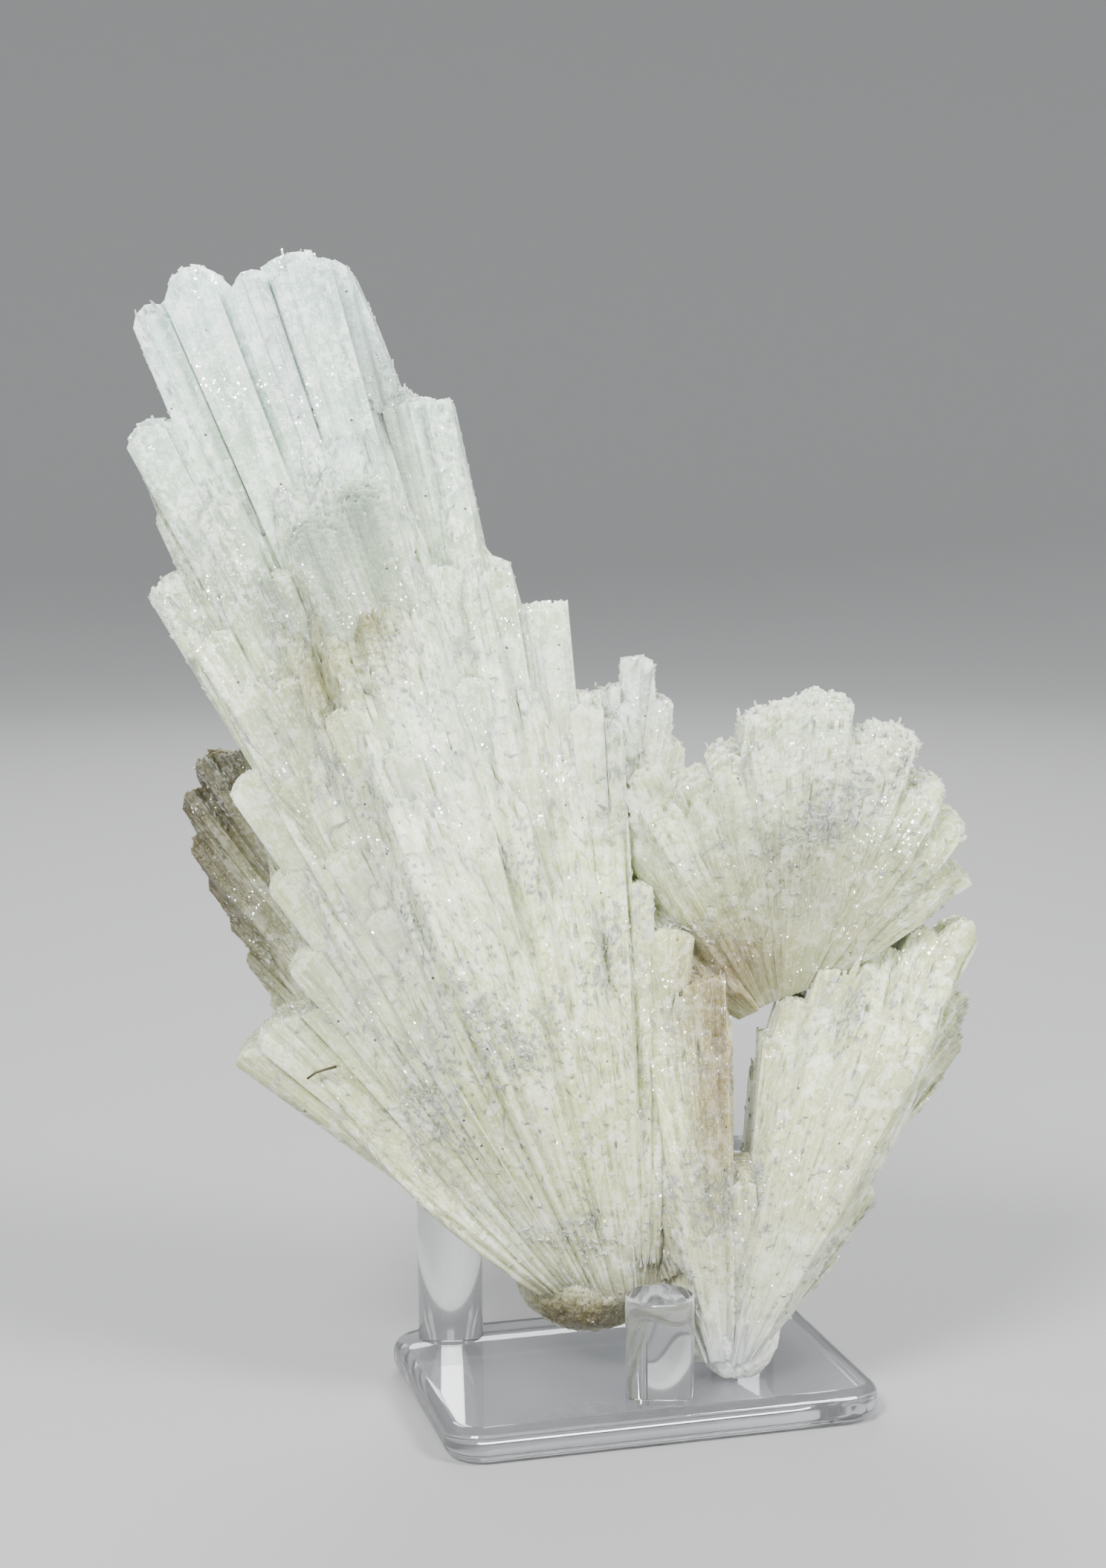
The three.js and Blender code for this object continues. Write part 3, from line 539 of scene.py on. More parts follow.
def column_reaches(spray, bearings, leans, tree, rng):
    """The reach of every column: the outline's in the middle rows, the solid's elsewhere."""
    spec = spray.spec
    bearing, lean = np.meshgrid(between(bearings), between(leans), indexing="ij")
    outline = spray.outline_over(bearing[:, 0])[:, None]
    if spec["alone"]:
        across = lean / spec["leans"][1]
        shorter = BROKEN_ROUND * across ** 2 + spec["slant"] * (1 - across) / 2
        alone = (outline - shorter) * (1 - rng.random(bearing.shape) * BROKEN_FINE)
        return alone, np.ones(bearing.shape, bool), np.zeros(bearing.shape)
    starts, directions = spray.rays(bearing, lean)
    solid = np.zeros(bearing.shape)
    blocked = beside_pegs(starts + directions * spec["start"])
    for place in zip(*np.nonzero(~blocked)):
        solid[place] = solid_reach(tree, starts[place], directions[place], outline[place[0], 0])
    steps = (spec["steps"][0], (spec["steps"][1] + spec["steps"][2]) / 2)
    smooth = evened(solid / outline, steps, spec["smoothed"]) * outline
    reach = solid * spec["rugged"] + smooth * (1 - spec["rugged"])
    reach = np.where(lean > BACK_LEAN, np.maximum(reach, solid * BACK_CRISP), reach)
    reach[blocked] = 0
    reach[(smooth < SHORTEST) & (solid < SHORTEST)] = 0
    blades, rods = (fall_short(bearing, lean, np.array(size) * spray.degree, most, often, rng)
                    for size, most, often in zip(GROUP_SIZES, spec["broken"], GROUP_SHARES))
    small, larger, often = FINE_BREAKS
    fine = rng.random(reach.shape) * small + (rng.random(reach.shape) < often) * larger
    reach = np.minimum(reach, outline * INNER_SHARE)
    middle = np.abs(lean) < np.degrees(np.arctan(spec["depth"] * MIDDLE_SHARE / outline))
    crumble = spec["crumble"] * rng.random(reach.shape) ** 1.5
    crisp = outline * (1 - rods * CRISP_SHARES[0] - fine * CRISP_SHARES[1]) - crumble
    short = np.where(middle, 0, blades + rods + fine)
    return np.where(middle, crisp, reach), middle, short


def corner_ends(reach, middle):
    """Reaches at each column's four corners, so that ends run on into their neighbours'."""
    filled = (reach > 0) & ~middle
    columns, rows = reach.shape
    total = np.zeros((columns + 1, rows + 1))
    count = np.zeros(total.shape)
    parts = [np.s_[i:i + columns, j:j + rows] for i, j in CORNERS]
    for part in parts:
        total[part] += np.where(filled, reach, 0)
        count[part] += filled
    shared = total / np.maximum(count, 1)
    return np.stack([np.where(filled, shared[part], reach) for part in parts], axis=-1)


def box_limits(starts, directions):
    """How far each ray can go before it leaves the part's box."""
    low, high = (np.array(corner) / MM for corner in cad_box)
    starts, ahead = turned(starts) / MM, turned(directions) / MM
    with np.errstate(divide="ignore"):
        walls = np.where(ahead > 0, (high - BOX_MARGIN - starts) / ahead,
                         (low + BOX_MARGIN - starts) / ahead)
    return walls.min(axis=-1)


def relief(spray, bearing, lean, rng):
    """Degrees by which the rays lean aside: flat-faced blades that stand proud or sink in."""
    result = np.zeros(bearing.shape)
    if spray.spec["crown"]:
        for column in range(bearing.shape[0]):
            reach, off, crystal = spray.crystal_at(bearing[column, 0])
            fall = spray.spec["crown"] * spray.rounding[crystal] * off ** 2
            side = -np.clip(lean[column] / CROWN_LEAN, -1, 1)
            result[column] += side * np.degrees(fall / reach)
    for width, height in spray.spec["relief"]:
        size = (width * spray.degree, width * BLADE_LENGTH * spray.degree)
        seeds, nearest = seed_groups(bearing, lean, size, rng)
        rise = rng.normal(0, height, len(seeds)) * spray.degree
        slope = rng.normal(0, BLADE_SLOPE * height, len(seeds))
        result += rise[nearest] + slope[nearest] * (bearing - seeds[nearest, 0])
    return result


def column_mesh(name, spray, tree, rng):
    """A closed mesh: an end for every column, and walls where neighbours end apart."""
    spec = spray.spec
    start = spec["start"]
    along_step, front_step, back_step = spec["steps"]
    bearings = uneven_edges(spray.first, spray.last, along_step, rng)
    first, last = spec["leans"]
    turn = min(COARSER_FROM, last / 2)
    leans = np.concatenate([uneven_edges(first, turn, front_step, rng)[:-1],
                            uneven_edges(turn, last, back_step, rng)])
    columns, rows = len(bearings) - 1, len(leans) - 1
    reach, middle, short = column_reaches(spray, bearings, leans, tree, rng)
    spray.built = (bearings, leans, reach)

    bearing, lean = np.meshgrid(bearings, leans, indexing="ij")
    row_step = np.gradient(leans)[None, :]
    lean = lean + relief(spray, bearing, lean, rng)
    lean = lean + rng.normal(0, LEAN_JITTER, lean.shape) * row_step
    for row in range(1, rows + 1):
        least = lean[:, row - 1] + row_step[0, row] * LEAST_ROW
        lean[:, row] = np.maximum(lean[:, row], least)
    bearing = bearing + rng.uniform(-BEARING_JITTER, BEARING_JITTER, bearing.shape) * along_step
    starts, directions = spray.rays(bearing, lean)

    ends = corner_ends(reach, middle) * (1 - short[:, :, None])
    outline = spray.outline_over(between(bearings))
    inner = np.diff(bearings) * EDGE_INSET
    sides = [spray.outline_over(edge) / outline
             for edge in (bearings[:-1] + inner, bearings[1:] - inner)]
    tilt = rng.normal(0, END_TILT, (columns, rows, 2))
    inside = box_limits(starts, directions)
    for corner, (i, j) in enumerate(CORNERS):
        end = np.where(middle, ends[:, :, corner] * sides[i][:, None], ends[:, :, corner])
        end += tilt[:, :, 0] * (2 * i - 1) + tilt[:, :, 1] * (2 * j - 1)
        ends[:, :, corner] = np.minimum(end, inside[i:columns + i, j:rows + j])
    empty = reach <= start
    ends[empty] = start
    ends = np.maximum(ends, start)
    straighten(ends)
    ends = np.round(ends / RADIUS_SNAP).astype(int)
    floor = int(round(start / RADIUS_SNAP))
    angles = np.stack([bearing, lean], axis=-1)
    vertices, grain, faces = column_faces(ends, empty, floor, starts, directions, angles)
    mesh = new_mesh(name, turned(np.array(vertices)), faces, grain)
    drop_loose(mesh)
    return mesh


def column_faces(ends, empty, floor, starts, directions, angles):
    """The columns' vertices, their places along the grain, and their faces."""
    columns, rows = empty.shape
    on_ray = {}
    for column, row in np.ndindex(columns, rows):
        for corner, (i, j) in enumerate(CORNERS):
            ray = on_ray.setdefault((column + i, row + j), {floor})
            ray.add(int(ends[column, row, corner]))
    ids, vertices, grain = {}, [], []
    for ray, radii in on_ray.items():
        on_ray[ray] = sorted(radii)
        for radius in on_ray[ray]:
            ids[ray + (radius,)] = len(vertices)
            vertices.append(starts[ray] + directions[ray] * radius * RADIUS_SNAP)
            grain.append((*angles[ray], radius * RADIUS_SNAP))
    faces = []
    around = np.pad(ends, ((1, 1), (1, 1), (0, 0)), constant_values=floor)
    for column, row in np.ndindex(columns, rows):
        rays = [(column + i, row + j) for i, j in CORNERS]
        end = ends[column, row].tolist()
        if not empty[column, row]:
            faces.append([ids[ray + (end[k],)] for k, ray in enumerate(rays)])
            faces.append([ids[ray + (floor,)] for ray in reversed(rays)])
        for side, (i, j) in enumerate(SIDES):
            if side > 1 and column + i >= 0 and row + j >= 0:
                continue  # the neighbour has made this wall
            beside = around[column + 1 + i, row + 1 + j].tolist()
            pair = ((side + 1) % 4, (side + 2) % 4)
            here = [end[k] for k in pair]
            there = [beside[side], beside[side - 1]]
            if here == there:
                continue
            p_line, q_line = (
                [ids[rays[k] + (r,)] for r in on_ray[rays[k]] if min(a, b) <= r <= max(a, b)]
                for k, a, b in zip(pair, here, there))
            face = q_line + p_line[::-1]
            faces.append(face if sum(here) > sum(there) else face[::-1])
    return vertices, grain, faces


def place_of(spray, x, z):
    """The bearing and reach of a point seen from the front."""
    bearing = 0.0
    for _ in range(PLACE_ROUNDS):
        start, _ = spray.rays(np.array(bearing), np.array(0.0))
        bearing = math.degrees(math.atan2(x - start[0], z - start[2]))
    return bearing, math.hypot(x - start[0], z - start[2])


def front_lean(spray, bearing, reach):
    """The lean at which the built front face lies, at a bearing and a reach."""
    bearings, leans, reaches = spray.built
    column = int(np.clip(np.searchsorted(bearings, bearing) - 1, 0, reaches.shape[0] - 1))
    long_enough = reaches[max(0, column - 2):column + 3].mean(axis=0) >= reach
    return leans[np.argmax(long_enough)] if long_enough.any() else 0.0


def blade_spec(spray, x, z, proud, width, depth, slant, rounding):
    """A single crystal on a spray's front face, as a small spray of its own."""
    bearing, reach = place_of(spray, x, z)
    half = math.degrees(depth / 2 / reach)
    lean = 0.0
    if proud > 0:
        lean = front_lean(spray, bearing, reach * BLADE_BACK)
        lean += math.degrees((depth / 2 - proud) / reach)
    foot, direction = spray.rays(np.array(bearing), np.array(lean))
    y = (foot + direction * reach)[1] if proud > 0 else proud
    foot = tuple(foot)
    (wide, high), fine = BLADE_RELIEF
    return {
        "feet": (foot, foot), "start": reach * BLADE_START, "leans": (-half, half),
        "steps": BLADE_STEPS, "relief": ((width * wide, high), fine), "slant": slant, "alone": True,
        "outline": [(x, z, y, width, rounding)],
    }


def straighten(ends):
    """Where two neighbours' ends would cross along their shared edge, they are made level."""
    pairs = ((ends[:-1, :, 1:3], ends[1:, :, ::3]), (ends[:, :-1, 2:], ends[:, 1:, 1::-1]))
    for _ in range(LEVEL_ROUNDS):
        for here, there in pairs:
            gap = here - there
            crossed = gap[..., :1] * gap[..., 1:] < 0
            smaller = crossed & (np.abs(gap) <= np.abs(gap[..., ::-1]))
            level = (here + there) / 2
            np.copyto(here, level, where=smaller)
            np.copyto(there, level, where=smaller)


def drop_loose(mesh):
    shape = bmesh.new()
    shape.from_mesh(mesh)
    loose = [vertex for vertex in shape.verts if not vertex.link_faces]
    bmesh.ops.delete(shape, geom=loose, context="VERTS")
    bmesh.ops.triangulate(shape, faces=[face for face in shape.faces if len(face.verts) > 4])
    shape.to_mesh(mesh)
    shape.free()


# ---- lumps and splinters ----
def lump_mesh(name, centre, half_size, roughness, floor):
    """A rounded lump with an uneven, grainy surface, flat where it would pass its floor."""
    shape = bmesh.new()
    bmesh.ops.create_icosphere(shape, subdivisions=6, radius=1)
    for vertex in shape.verts:
        point = Vector([vertex.co[axis] * half_size[axis] for axis in range(3)])
        wide, fine = (sum(noise.noise(point * scale) * share for scale, share in bumps)
                      for bumps in LUMP_BUMPS)
        point = Vector(centre) + point + vertex.co.normalized() * (wide + fine) * roughness
        point.z = max(point.z, floor)
        vertex.co = point
    mesh = bpy.data.meshes.new(name)
    shape.to_mesh(mesh)
    shape.free()
    points = read(mesh.vertices, "co", 3, np.float32)
    add_values(mesh, "grain", "FLOAT_VECTOR", "vector", points)
    mesh.vertices.foreach_set("co", turned(points).astype(np.float32).ravel())
    mesh.update()
    mesh.shade_smooth()
    return mesh


def surface_points(mesh, spray, number, rng):
    """Random points on the sides of a spray's crystals, with normals and directions."""
    mesh.calc_loop_triangles()
    triangles = read(mesh.loop_triangles, "vertices", 3, np.int32)
    corners = read(mesh.vertices, "co", 3)[triangles]
    a, b, c = (corners[:, k] for k in range(3))
    middles = corners.mean(axis=1)
    normals = np.cross(b - a, c - a)
    areas = np.linalg.norm(normals, axis=1)
    normals /= np.maximum(areas, 1e-15)[:, None]
    foot = turned((spray.left + spray.right) / 2)
    away = middles - foot
    reach = np.linalg.norm(away, axis=1)
    side_on = np.abs((normals * away).sum(axis=1) / reach) < SIDE_ON
    patches = [PATCH_LEAST + max(0, noise.noise(Vector(point) * PATCH_SCALE)) ** 1.5 * PATCH_RICH
               for point in middles]
    weight = areas * side_on * (reach > BARE_FOOT * MM) * np.array(patches)
    chosen = rng.choice(len(corners), number, p=weight / weight.sum())
    u, v = rng.random((2, number, 1))
    flip = u + v > 1
    u, v = np.where(flip, 1 - u, u), np.where(flip, 1 - v, v)
    a, b, c = a[chosen], b[chosen], c[chosen]
    at = a + (b - a) * u + (c - a) * v
    away = at - foot
    return at, normals[chosen], away / np.linalg.norm(away, axis=1, keepdims=True)


def splinter_size(rng):
    """The length, width and thickness of a sliver or a chip, in mm."""
    usual, spread, longest = SLIVER_LENGTH
    length = min(longest, rng.lognormal(math.log(usual), spread))
    width = rng.uniform(*SLIVER_WIDTH) * min(1.5, 0.6 + length / 3)
    if rng.random() < CHIP_SHARE:
        length, width = rng.uniform(*CHIP_LENGTH), rng.uniform(*CHIP_WIDTH)
    return length, width, rng.uniform(*SPLINTER_THICK)


def splinter_mesh(name, sources, count, rng):
    """Small loose-ended slivers and flakes that lie along the crystals' faces."""
    vertices, faces, grain = [], [], []
    for mesh, spray, share in sources:
        for at, normal, along in zip(*surface_points(mesh, spray, int(count * share), rng)):
            across = np.cross(normal, along)
            across /= np.linalg.norm(across) + 1e-9
            along = (along + across * rng.normal(0, SPLINTER_STRAY[0])
                     + normal * abs(rng.normal(0, SPLINTER_STRAY[1])))
            along /= np.linalg.norm(along)
            size = splinter_size(rng)
            length, width, thick = np.array(size) * MM
            base = at - along * length * SPLINTER_BACK
            twist = rng.normal(0, SPLINTER_TWIST)
            u = across * math.cos(twist) + normal * math.sin(twist)
            v = normal * math.cos(twist) - across * math.sin(twist)
            first = len(vertices)
            slant = rng.uniform(-SPLINTER_SLANT, SPLINTER_SLANT) * min(length, 1.5 * MM)
            for reach, narrow in ((0, SPLINTER_TAPER), (1, 1)):
                for i, j in ((-1, -1), (1, -1), (1, 1), (-1, 1)):
                    vertices.append(base + along * (length * reach + slant * i * reach)
                                    + u * width * 0.5 * i * narrow + v * thick * 0.5 * j * narrow)
                    grain.append((first * GRAIN_SHIFT + i, j, reach * size[0]))
            for face in BOX_FACES:
                faces.append([first + k for k in face])
    vertices = np.clip(vertices, *(np.array(corner) for corner in cad_box))
    return new_mesh(name, vertices, faces, grain)


def nearness(points, centre, size):
    """1 at the centre, falling off over the half size in each direction."""
    return np.exp(-(((points - np.array(centre)) / np.array(size)) ** 2).sum(axis=1))


def tint_mesh(mesh, whiten):
    """Colour and clearness at every point, by height and by ZONES, with their painted shade and light, and
    where dirt is.
    """
    points = rotated(read(mesh.vertices, "co", 3) / MM, -SPECIMEN_TURN)
    heights, colours = zip(*TINT_BY_HEIGHT)
    look = np.stack([np.interp(points[:, 2], heights, channel) for channel in zip(*colours)]
                    + [np.full(len(points), CLEARNESS)], axis=1)
    dirt, sparkle = np.zeros((2, len(points)))
    for centre, size, tint, clearness, dirtiness in ZONES:
        share = nearness(points, centre, size)
        dirt = np.maximum(dirt, dirtiness * share)
        share = share[:, None]
        look = look * (1 - share) + np.array(tint + (clearness,)) * share
    for centre, size in SPARKLES:
        sparkle = np.maximum(sparkle, nearness(points, centre, size))
    share = whiten * np.minimum(1, look[:, 1:2] / FULLY_PALE) ** 2
    look[:, :3] = look[:, :3] * (1 - share) + np.array(FROST) * share
    look[:, 3] *= 1 - whiten
    add_values(mesh, "tint", "FLOAT_COLOR", "color", look)
    add_values(mesh, "dirt", "FLOAT", "value", dirt)
    add_values(mesh, "sparkle", "FLOAT", "value", sparkle)


# ---- materials ----
class Nodes:
    """A short way to write a material's nodes."""

    def __init__(self, name):
        self.material = bpy.data.materials.new(name)
        self.material.use_nodes = True
        self.tree = self.material.node_tree
        self.shader = self.tree.nodes["Principled BSDF"]

    def put(self, node, inputs):
        """Link the inputs that come from other nodes, and set the others."""
        for key, value in dict(inputs).items():
            if isinstance(value, bpy.types.NodeSocket):
                self.tree.links.new(value, node.inputs[key])
            else:
                node.inputs[key].default_value = value

    def add(self, kind, inputs=(), **settings):
        node = self.tree.nodes.new(kind)
        for key, value in settings.items():
            setattr(node, key, value)
        self.put(node, inputs)
        return node

    def math(self, operation, *values):
        return self.add("ShaderNodeMath", enumerate(values), operation=operation).outputs[0]

    def times(self, first, second):
        return self.math("MULTIPLY", first, second)

    def vector(self, operation, *values):
        return self.add("ShaderNodeVectorMath", enumerate(values), operation=operation).outputs[0]

    def noise(self, vector, scale, detail, rough):
        """Noise; scale is one number, or one for each direction."""
        scale = scale if isinstance(scale, tuple) else (scale,) * 3
        return self.add("ShaderNodeTexNoise", {
            "Vector": self.vector("MULTIPLY", vector, scale), "Scale": 1, "Detail": detail,
            "Roughness": rough}).outputs["Fac"]

    def ramp(self, value, low, high, to_low=0, to_high=1):
        limits = (value, low, high, to_low, to_high)
        return self.add("ShaderNodeMapRange", enumerate(limits)).outputs[0]

    def mix(self, share, first, second, blend="MIX"):
        return self.add("ShaderNodeMix", {0: share, 6: first, 7: second}, data_type="RGBA",
                        blend_type=blend).outputs[2]

    def attribute(self, name):
        return self.add("ShaderNodeAttribute", attribute_name=name)

    def cells(self, vector, scale):
        """Random cells, each with its own colour."""
        return self.add("ShaderNodeTexVoronoi", {"Vector": vector, "Scale": scale})

    def channel(self, node, index):
        return self.add("ShaderNodeSeparateColor", {"Color": node.outputs["Color"]}).outputs[index]

    def tilted(self, normal, cells, amount):
        """A normal that leans its own way in each cell."""
        size, middle = (amount,) * 3, (-amount / 2,) * 3
        aside = self.vector("MULTIPLY_ADD", cells.outputs["Color"], size, middle)
        return self.vector("NORMALIZE", self.vector("ADD", normal, aside))


def scolecite_material(name, milky):
    """The crystals, more or less milky."""
    n = Nodes(name)
    grain = n.attribute("grain").outputs["Vector"]
    tint = n.attribute("tint")
    clear = tint.outputs["Alpha"]
    dirt = n.attribute("dirt").outputs["Fac"]
    place = n.add("ShaderNodeTexCoord").outputs["Object"]
    facing = n.add("ShaderNodeNewGeometry").outputs["Normal"]
    streaks = n.noise(grain, (1.5, 1.1, 0.05), 4.0, 0.62)
    fibres = n.noise(grain, (5.0, 4.0, 0.14), 3.0, 0.6)
    grains = n.noise(place, 1500, 2.0, 0.6)
    frost = n.noise(place, 420, 5.0, 0.75)
    drawn = n.noise(grain, (1.4, 1.2, 0.35), 5.0, 0.75)
    clouds = n.noise(place, 50, 4.0, 0.6)
    wide = n.noise(place, 22, 2.0, 0.5)

    light = n.ramp(streaks, 0.3, 0.7, 0.58, 0.98)
    light = n.times(light, n.ramp(clouds, 0.35, 0.65, 0.80, 1.06))
    grey = n.add("ShaderNodeCombineXYZ", enumerate((light,) * 3)).outputs[0]
    base = n.mix(1, tint.outputs["Color"], grey, "MULTIPLY")
    whole = n.ramp(clear, 0.06, 0.20, 1.0, 0.08)
    cooled = n.times(n.ramp(wide, 0.45, 0.62, 0.0, 0.3), whole)
    base = n.mix(cooled, base, COOL + (1,))
    white = n.math("MAXIMUM", n.ramp(frost, 0.53, 0.57), n.ramp(drawn, 0.56, 0.60))
    flecks = n.noise(grain, (7.0, 6.0, 1.1), 2.0, 0.6)
    where = n.ramp(n.noise(place, 90, 3.0, 0.6), 0.42, 0.58)
    flecks = n.times(n.ramp(flecks, 0.57, 0.61), where)
    white = n.math("MAXIMUM", n.times(white, 0.75), flecks)
    pale = n.mix(0.3, PALEST + (1,), tint.outputs["Color"])
    colour = n.mix(n.times(white, whole), base, pale)
    cells = n.cells(place, 420)
    rare = n.ramp(cells.outputs["Distance"], 0.07, 0.10, 1, 0)
    chosen = n.ramp(n.channel(cells, 0), 0.80, 0.82)
    colour = n.mix(n.times(n.times(rare, chosen), 0.9), colour, SPECK + (1,))
    crumbs = n.noise(place, 1700, 3.0, 0.7)
    grime = n.math("GREATER_THAN", crumbs, n.math("SUBTRACT", 0.70, n.times(dirt, 0.20)))
    grime = n.times(grime, n.ramp(dirt, 0.08, 0.4, 0.0, 0.85))
    colour = n.mix(grime, colour, GRIME + (1,))

    n.put(n.shader, {
        "Base Color": colour, "Roughness": n.ramp(frost, 0.35, 0.65, 0.18, 0.45), "IOR": 1.51,
        "Subsurface Weight": milky, "Subsurface Radius": (1, 0.97, 0.70),
        "Subsurface Scale": 0.0021, "Transmission Weight": clear,
    })

    height = n.math("ADD", n.times(fibres, 0.8), n.times(grains, 0.4))
    height = n.math("ADD", height, n.times(frost, 0.8))
    bump = n.add("ShaderNodeBump", {"Strength": 0.8, "Distance": 0.0006, "Height": height})
    blades = n.cells(n.vector("MULTIPLY", grain, (1.3, 1.0, 0.3)), 1)
    n.put(bump, {"Normal": n.tilted(facing, blades, 0.15)})
    n.put(n.shader, {"Normal": bump.outputs["Normal"]})

    # The tiny faces of broken crystals, each turned its own way, catch the light.
    flakes = n.cells(place, 3500)
    n.put(n.shader, {"Coat Normal": n.tilted(facing, flakes, 1.7)})
    shiny = n.ramp(n.channel(flakes, 2), 0.55, 0.57, 0.08, 1.0)
    where = n.ramp(n.noise(place, 130, 4.0, 0.7), 0.52, 0.62, 0.04, 1.0)
    where = n.math("MAXIMUM", where, n.attribute("sparkle").outputs["Fac"])
    where = n.times(where, n.ramp(clear, 0.08, 0.20, 1.0, 0.3))
    n.put(n.shader, {
        "Coat Weight": n.times(shiny, where), "Coat Roughness": 0.07, "Coat IOR": 2.2})
    return n.material


def plain_material(name, colour, **inputs):
    n = Nodes(name)
    inputs = {key.replace("_", " "): value for key, value in inputs.items()}
    n.put(n.shader, {"Base Color": colour + (1,)} | inputs)
    return n.material


# ---- building ----
def keep_off_pegs(mesh):
    """Move edges that pass through a peg, or nearer than PEG_CLEARANCE, straight out of it."""
    points = read(mesh.vertices, "co", 3)
    edges = read(mesh.edges, "vertices", 2, np.int32)
    shares = np.linspace(0, 1, EDGE_SAMPLES)[:, None, None]
    for middle, radius, top in list(peg_walls()) * PUSHES:
        ends = points[edges]
        along = ends[:, 0] + (ends[:, 1] - ends[:, 0]) * shares
        off = along[..., :2] - middle
        far = np.maximum(np.hypot(off[..., 0], off[..., 1]), 1e-6)
        depth = np.where(along[..., 2] < top, radius - far, 0)
        worst = depth.argmax(axis=0)
        depth, far, off = (values[worst, np.arange(len(edges))] for values in (depth, far, off))
        order = np.argsort(depth)[np.count_nonzero(depth <= 0):]
        push = np.zeros_like(points)
        for side in (0, 1):
            push[edges[order, side], :2] = off[order] * (depth / far)[order, None]
        points += push
    mesh.vertices.foreach_set("co", points.ravel())
    mesh.update()


def add_scolecite(name, mesh, material, whiten=0.0):
    keep_off_pegs(mesh)
    piece = new_object(name, mesh)
    mesh.materials.append(material)
    tint_mesh(mesh, whiten)
    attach(piece, "root")
    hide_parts("scolecite")


def polar(radius, angle):
    return radius * math.cos(angle), radius * math.sin(angle)


def circle(radius, count):
    return [polar(radius, math.tau * k / count) for k in range(count)]


def quarter_turn(steps):
    return [math.pi / 2 * k / steps for k in range(steps + 1)]


def ring_mesh(name, rings):
    """A solid of stacked rings with the same number of points, closed at both ends."""
    count = len(rings[0])
    vertices = [point for ring in rings for point in ring]
    faces = [list(range(count))[::-1], [(len(rings) - 1) * count + k for k in range(count)]]
    for ring in range(len(rings) - 1):
        for k in range(count):
            low, after = ring * count, (k + 1) % count
            faces.append((low + k, low + after, low + count + after, low + count + k))
    mesh = new_mesh(name, vertices, faces)
    mesh.shade_smooth()
    return mesh


def strand_mesh(name, points, radius, lift, tree):
    """A thin strand that lies on the solid's front; points are x, z from the front, in mm."""
    places = []
    for x, z in points:
        hit, normal, _, _ = tree.ray_cast(Vector((x, STRANDS_FROM, z)), Vector((0, 1, 0)))
        places.append(hit + normal * lift)
    rings = []
    for index, place in enumerate(places):
        ahead = places[min(index + 1, len(places) - 1)] - places[max(index - 1, 0)]
        turn = ahead.to_track_quat("Z", "Y")
        rings.append([place + turn @ Vector((*polar(radius, a), 0)) for a in STRAND_ANGLES])
    return ring_mesh(name, turned(np.array(rings)))


def build_strands(tree):
    for name, (points, radius, lift, colour) in STRANDS.items():
        mesh = strand_mesh(name, points, radius, lift, tree)
        mesh.materials.append(plain_material(name, colour, Roughness=0.6))
        piece = new_object(name, mesh)
        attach(piece, "root")


def build_specimen():
    material = scolecite_material("scolecite", MILKINESS)
    chipped = scolecite_material("chipped_scolecite", CHIP_MILKINESS)
    tree = specimen_tree()
    fans = {}
    for number, (name, spec) in enumerate(SPRAYS.items()):
        spray = Spray(spec)
        mesh = column_mesh(name, spray, tree, np.random.default_rng(SPRAY_SEED + number))
        add_scolecite(name, mesh, material)
        fans[name] = (mesh, spray)
    for number, blade in enumerate(FRONT_BLADES):
        name = f"front_blade_{number + 1}"
        spray = Spray(blade_spec(fans["great_fan"][1], *blade))
        mesh = column_mesh(name, spray, tree, np.random.default_rng(BLADE_SEED + number))
        add_scolecite(name, mesh, material)
    for name, lump in LUMPS.items():
        add_scolecite(name, lump_mesh(name, *lump), material)
    areas = [sum(face.area for face in mesh.polygons) for mesh, _ in fans.values()]
    shared = [(*fan, area / sum(areas)) for fan, area in zip(fans.values(), areas)]
    rng = np.random.default_rng(SPLINTER_SEED)
    splinters = splinter_mesh("splinters", shared, SPLINTERS, rng)
    add_scolecite("splinters", splinters, chipped, SPLINTER_WHITENESS)


def rounded_profile(top, radius, steps):
    """Insets and heights from the underside to the top, round two quarter circles."""
    low = [(radius * (1 - math.sin(a)), radius * (1 - math.cos(a))) for a in quarter_turn(steps)]
    high = [(inset, top - height) for inset, height in reversed(low)]
    flat = radius + PLATE_RIM
    return [(flat, 0)] + low + high + [(flat, top)]


def plate_mesh(low, high):
    size = [(high[k] - low[k]) / MM for k in range(3)]
    rings = []
    for inset, height in rounded_profile(size[2], PLATE_EDGE_ROUND, EDGE_STEPS):
        radius = max(LEAST_RADIUS, PLATE_CORNER_RADIUS - inset)
        ring = []
        for corner, (u, v) in enumerate(((1, 1), (-1, 1), (-1, -1), (1, -1))):
            for step in range(CORNER_STEPS + 1):
                x, y = polar(radius, math.pi / 2 * (corner + step / CORNER_STEPS))
                x += u * (size[0] / 2 - inset - radius)
                y += v * (size[1] / 2 - inset - radius)
                ring.append((x * MM, y * MM, low[2] + height * MM))
        rings.append(ring)
    return ring_mesh("plate", rings)


def peg_mesh(name, low, high):
    radius = (high[0] - low[0]) / 2
    middle = [(high[k] + low[k]) / 2 for k in (0, 1)]
    base, top = low[2] + PEG_GAP * MM, high[2]
    bevel = PEG_BEVEL * MM
    foot = bevel * PEG_FOOT_BEVEL
    profile = [(radius - 2 * bevel, base), (radius - foot, base), (radius, base + foot),
               (radius, top - bevel)]
    profile += [(radius - bevel * (1 - math.cos(a)), top - bevel * (1 - math.sin(a)))
                for a in BEVEL_ANGLES]
    profile.append((radius - 2 * bevel, top))
    rings = [[(middle[0] + x, middle[1] + y, z) for x, y in circle(r, PEG_SIDES)]
             for r, z in profile]
    return ring_mesh(name, rings)


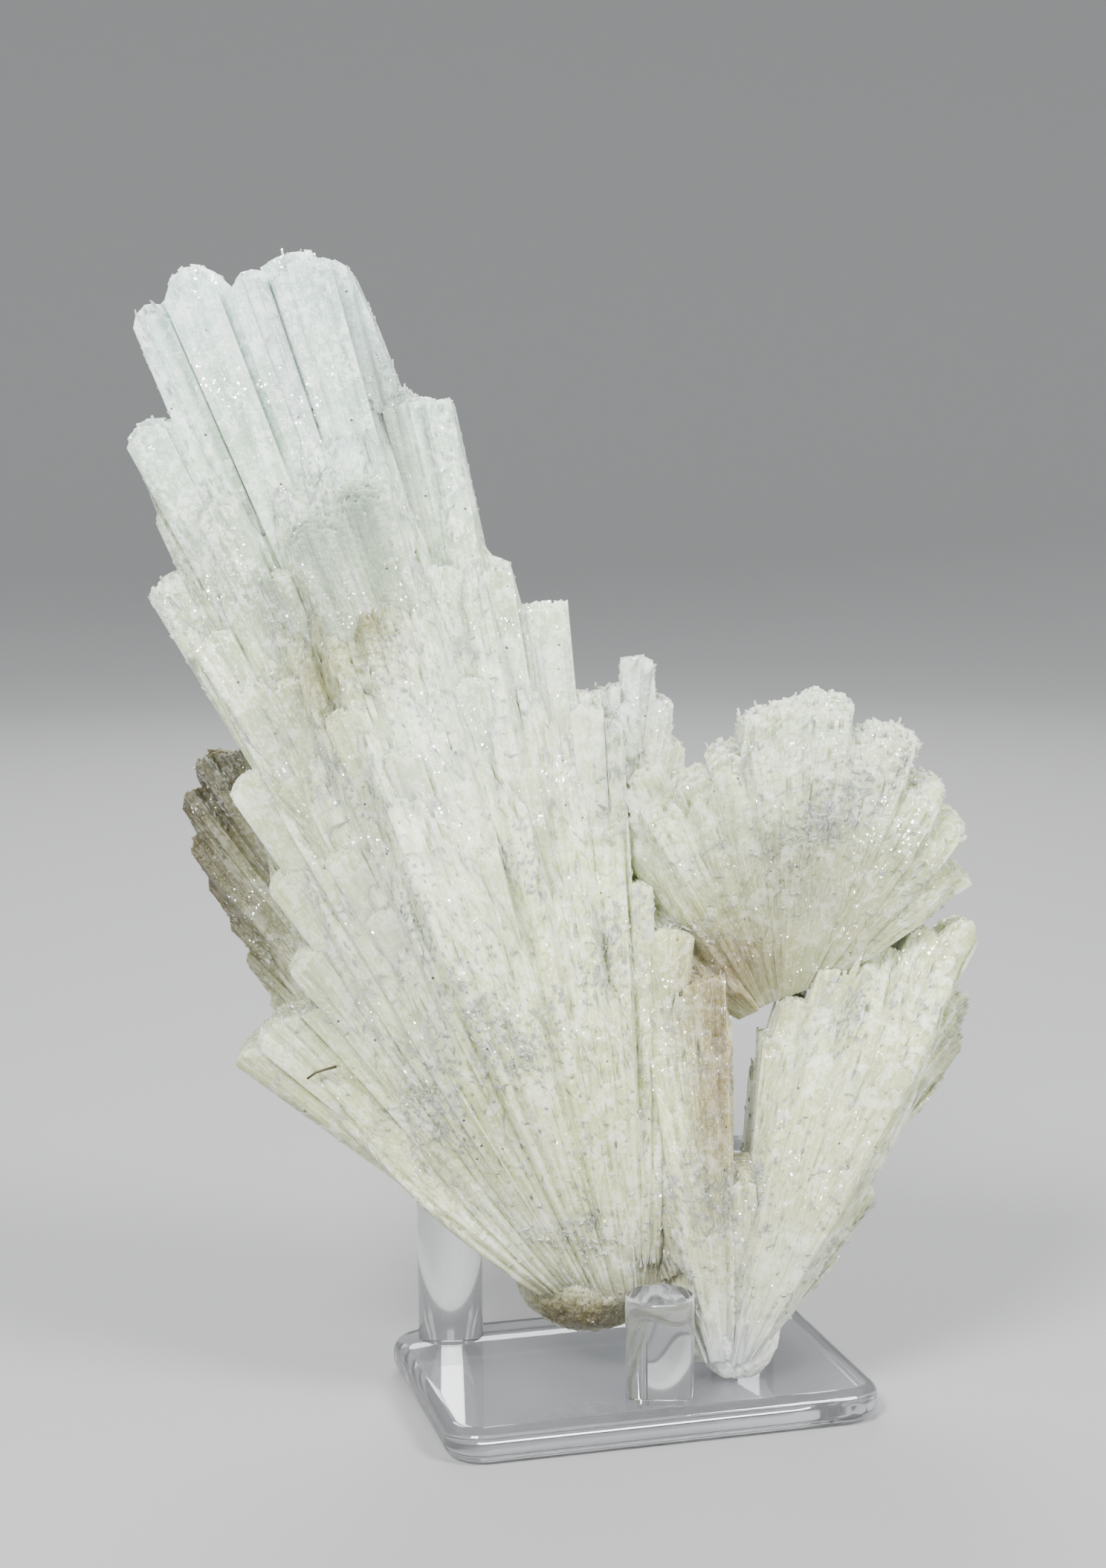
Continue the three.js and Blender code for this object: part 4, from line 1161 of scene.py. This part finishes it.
def build_stand():
    """The plate and pegs, with finer curves than the solids' they stand for."""
    plate = plain_material("clear_plate", (0.92, 0.93, 0.97), Transmission_Weight=0.95, **ACRYLIC)
    peg = plain_material("clear_peg", (0.96, 0.97, 0.98), Transmission_Weight=0.97, **ACRYLIC)
    for node in ("stand_base",) + PEG_NODES:
        low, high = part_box(node)
        mesh = plate_mesh(low, high) if node == "stand_base" else peg_mesh(node, low, high)
        mesh.materials.append(plate if node == "stand_base" else peg)
        piece = new_object("clear_" + node, mesh)
        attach(piece, "root")
        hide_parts(node)


def make_stage():
    """A pale floor that curves up all round into a plain wall, open at the top."""
    profile = [(FLOOR_RADIUS + SWEEP_RADIUS * math.sin(a), SWEEP_RADIUS * (1 - math.cos(a)))
               for a in quarter_turn(SWEEP_STEPS)]
    profile.append((FLOOR_RADIUS + SWEEP_RADIUS, WALL_HEIGHT))
    vertices, faces = [(0, 0, FLOOR_LEVEL)], []
    for radius, height in profile:
        vertices += [(x, y, FLOOR_LEVEL + height) for x, y in circle(radius, STAGE_SIDES)]
    for side in range(STAGE_SIDES):
        after = (side + 1) % STAGE_SIDES
        faces.append((0, 1 + side, 1 + after))
        for ring in range(len(profile) - 1):
            low, high = 1 + ring * STAGE_SIDES, 1 + (ring + 1) * STAGE_SIDES
            faces.append((low + side, high + side, high + after, low + after))
    mesh = new_mesh("floor", vertices, faces)
    mesh.shade_smooth()
    mesh.materials.append(plain_material("floor", (0.26, 0.26, 0.26), Roughness=0.75))
    new_object("floor", mesh)


def make_lights():
    world = bpy.data.worlds.new("world")
    bpy.context.scene.world = world
    world.use_nodes = True
    background = world.node_tree.nodes["Background"].inputs
    background["Color"].default_value = SKY + (1,)
    background["Strength"].default_value = 1
    for name, at, power, size in LIGHTS:
        data = bpy.data.lights.new(name, "AREA")
        data.energy = power
        data.size = size
        light = new_object(name, data)
        light.location = at
        ahead = Vector(LIT_POINT) - Vector(at)
        light.rotation_euler = ahead.to_track_quat("-Z", "Y").to_euler()


make_camera()
make_stage()
make_lights()
build_specimen()
build_stand()
build_strands(specimen_tree())
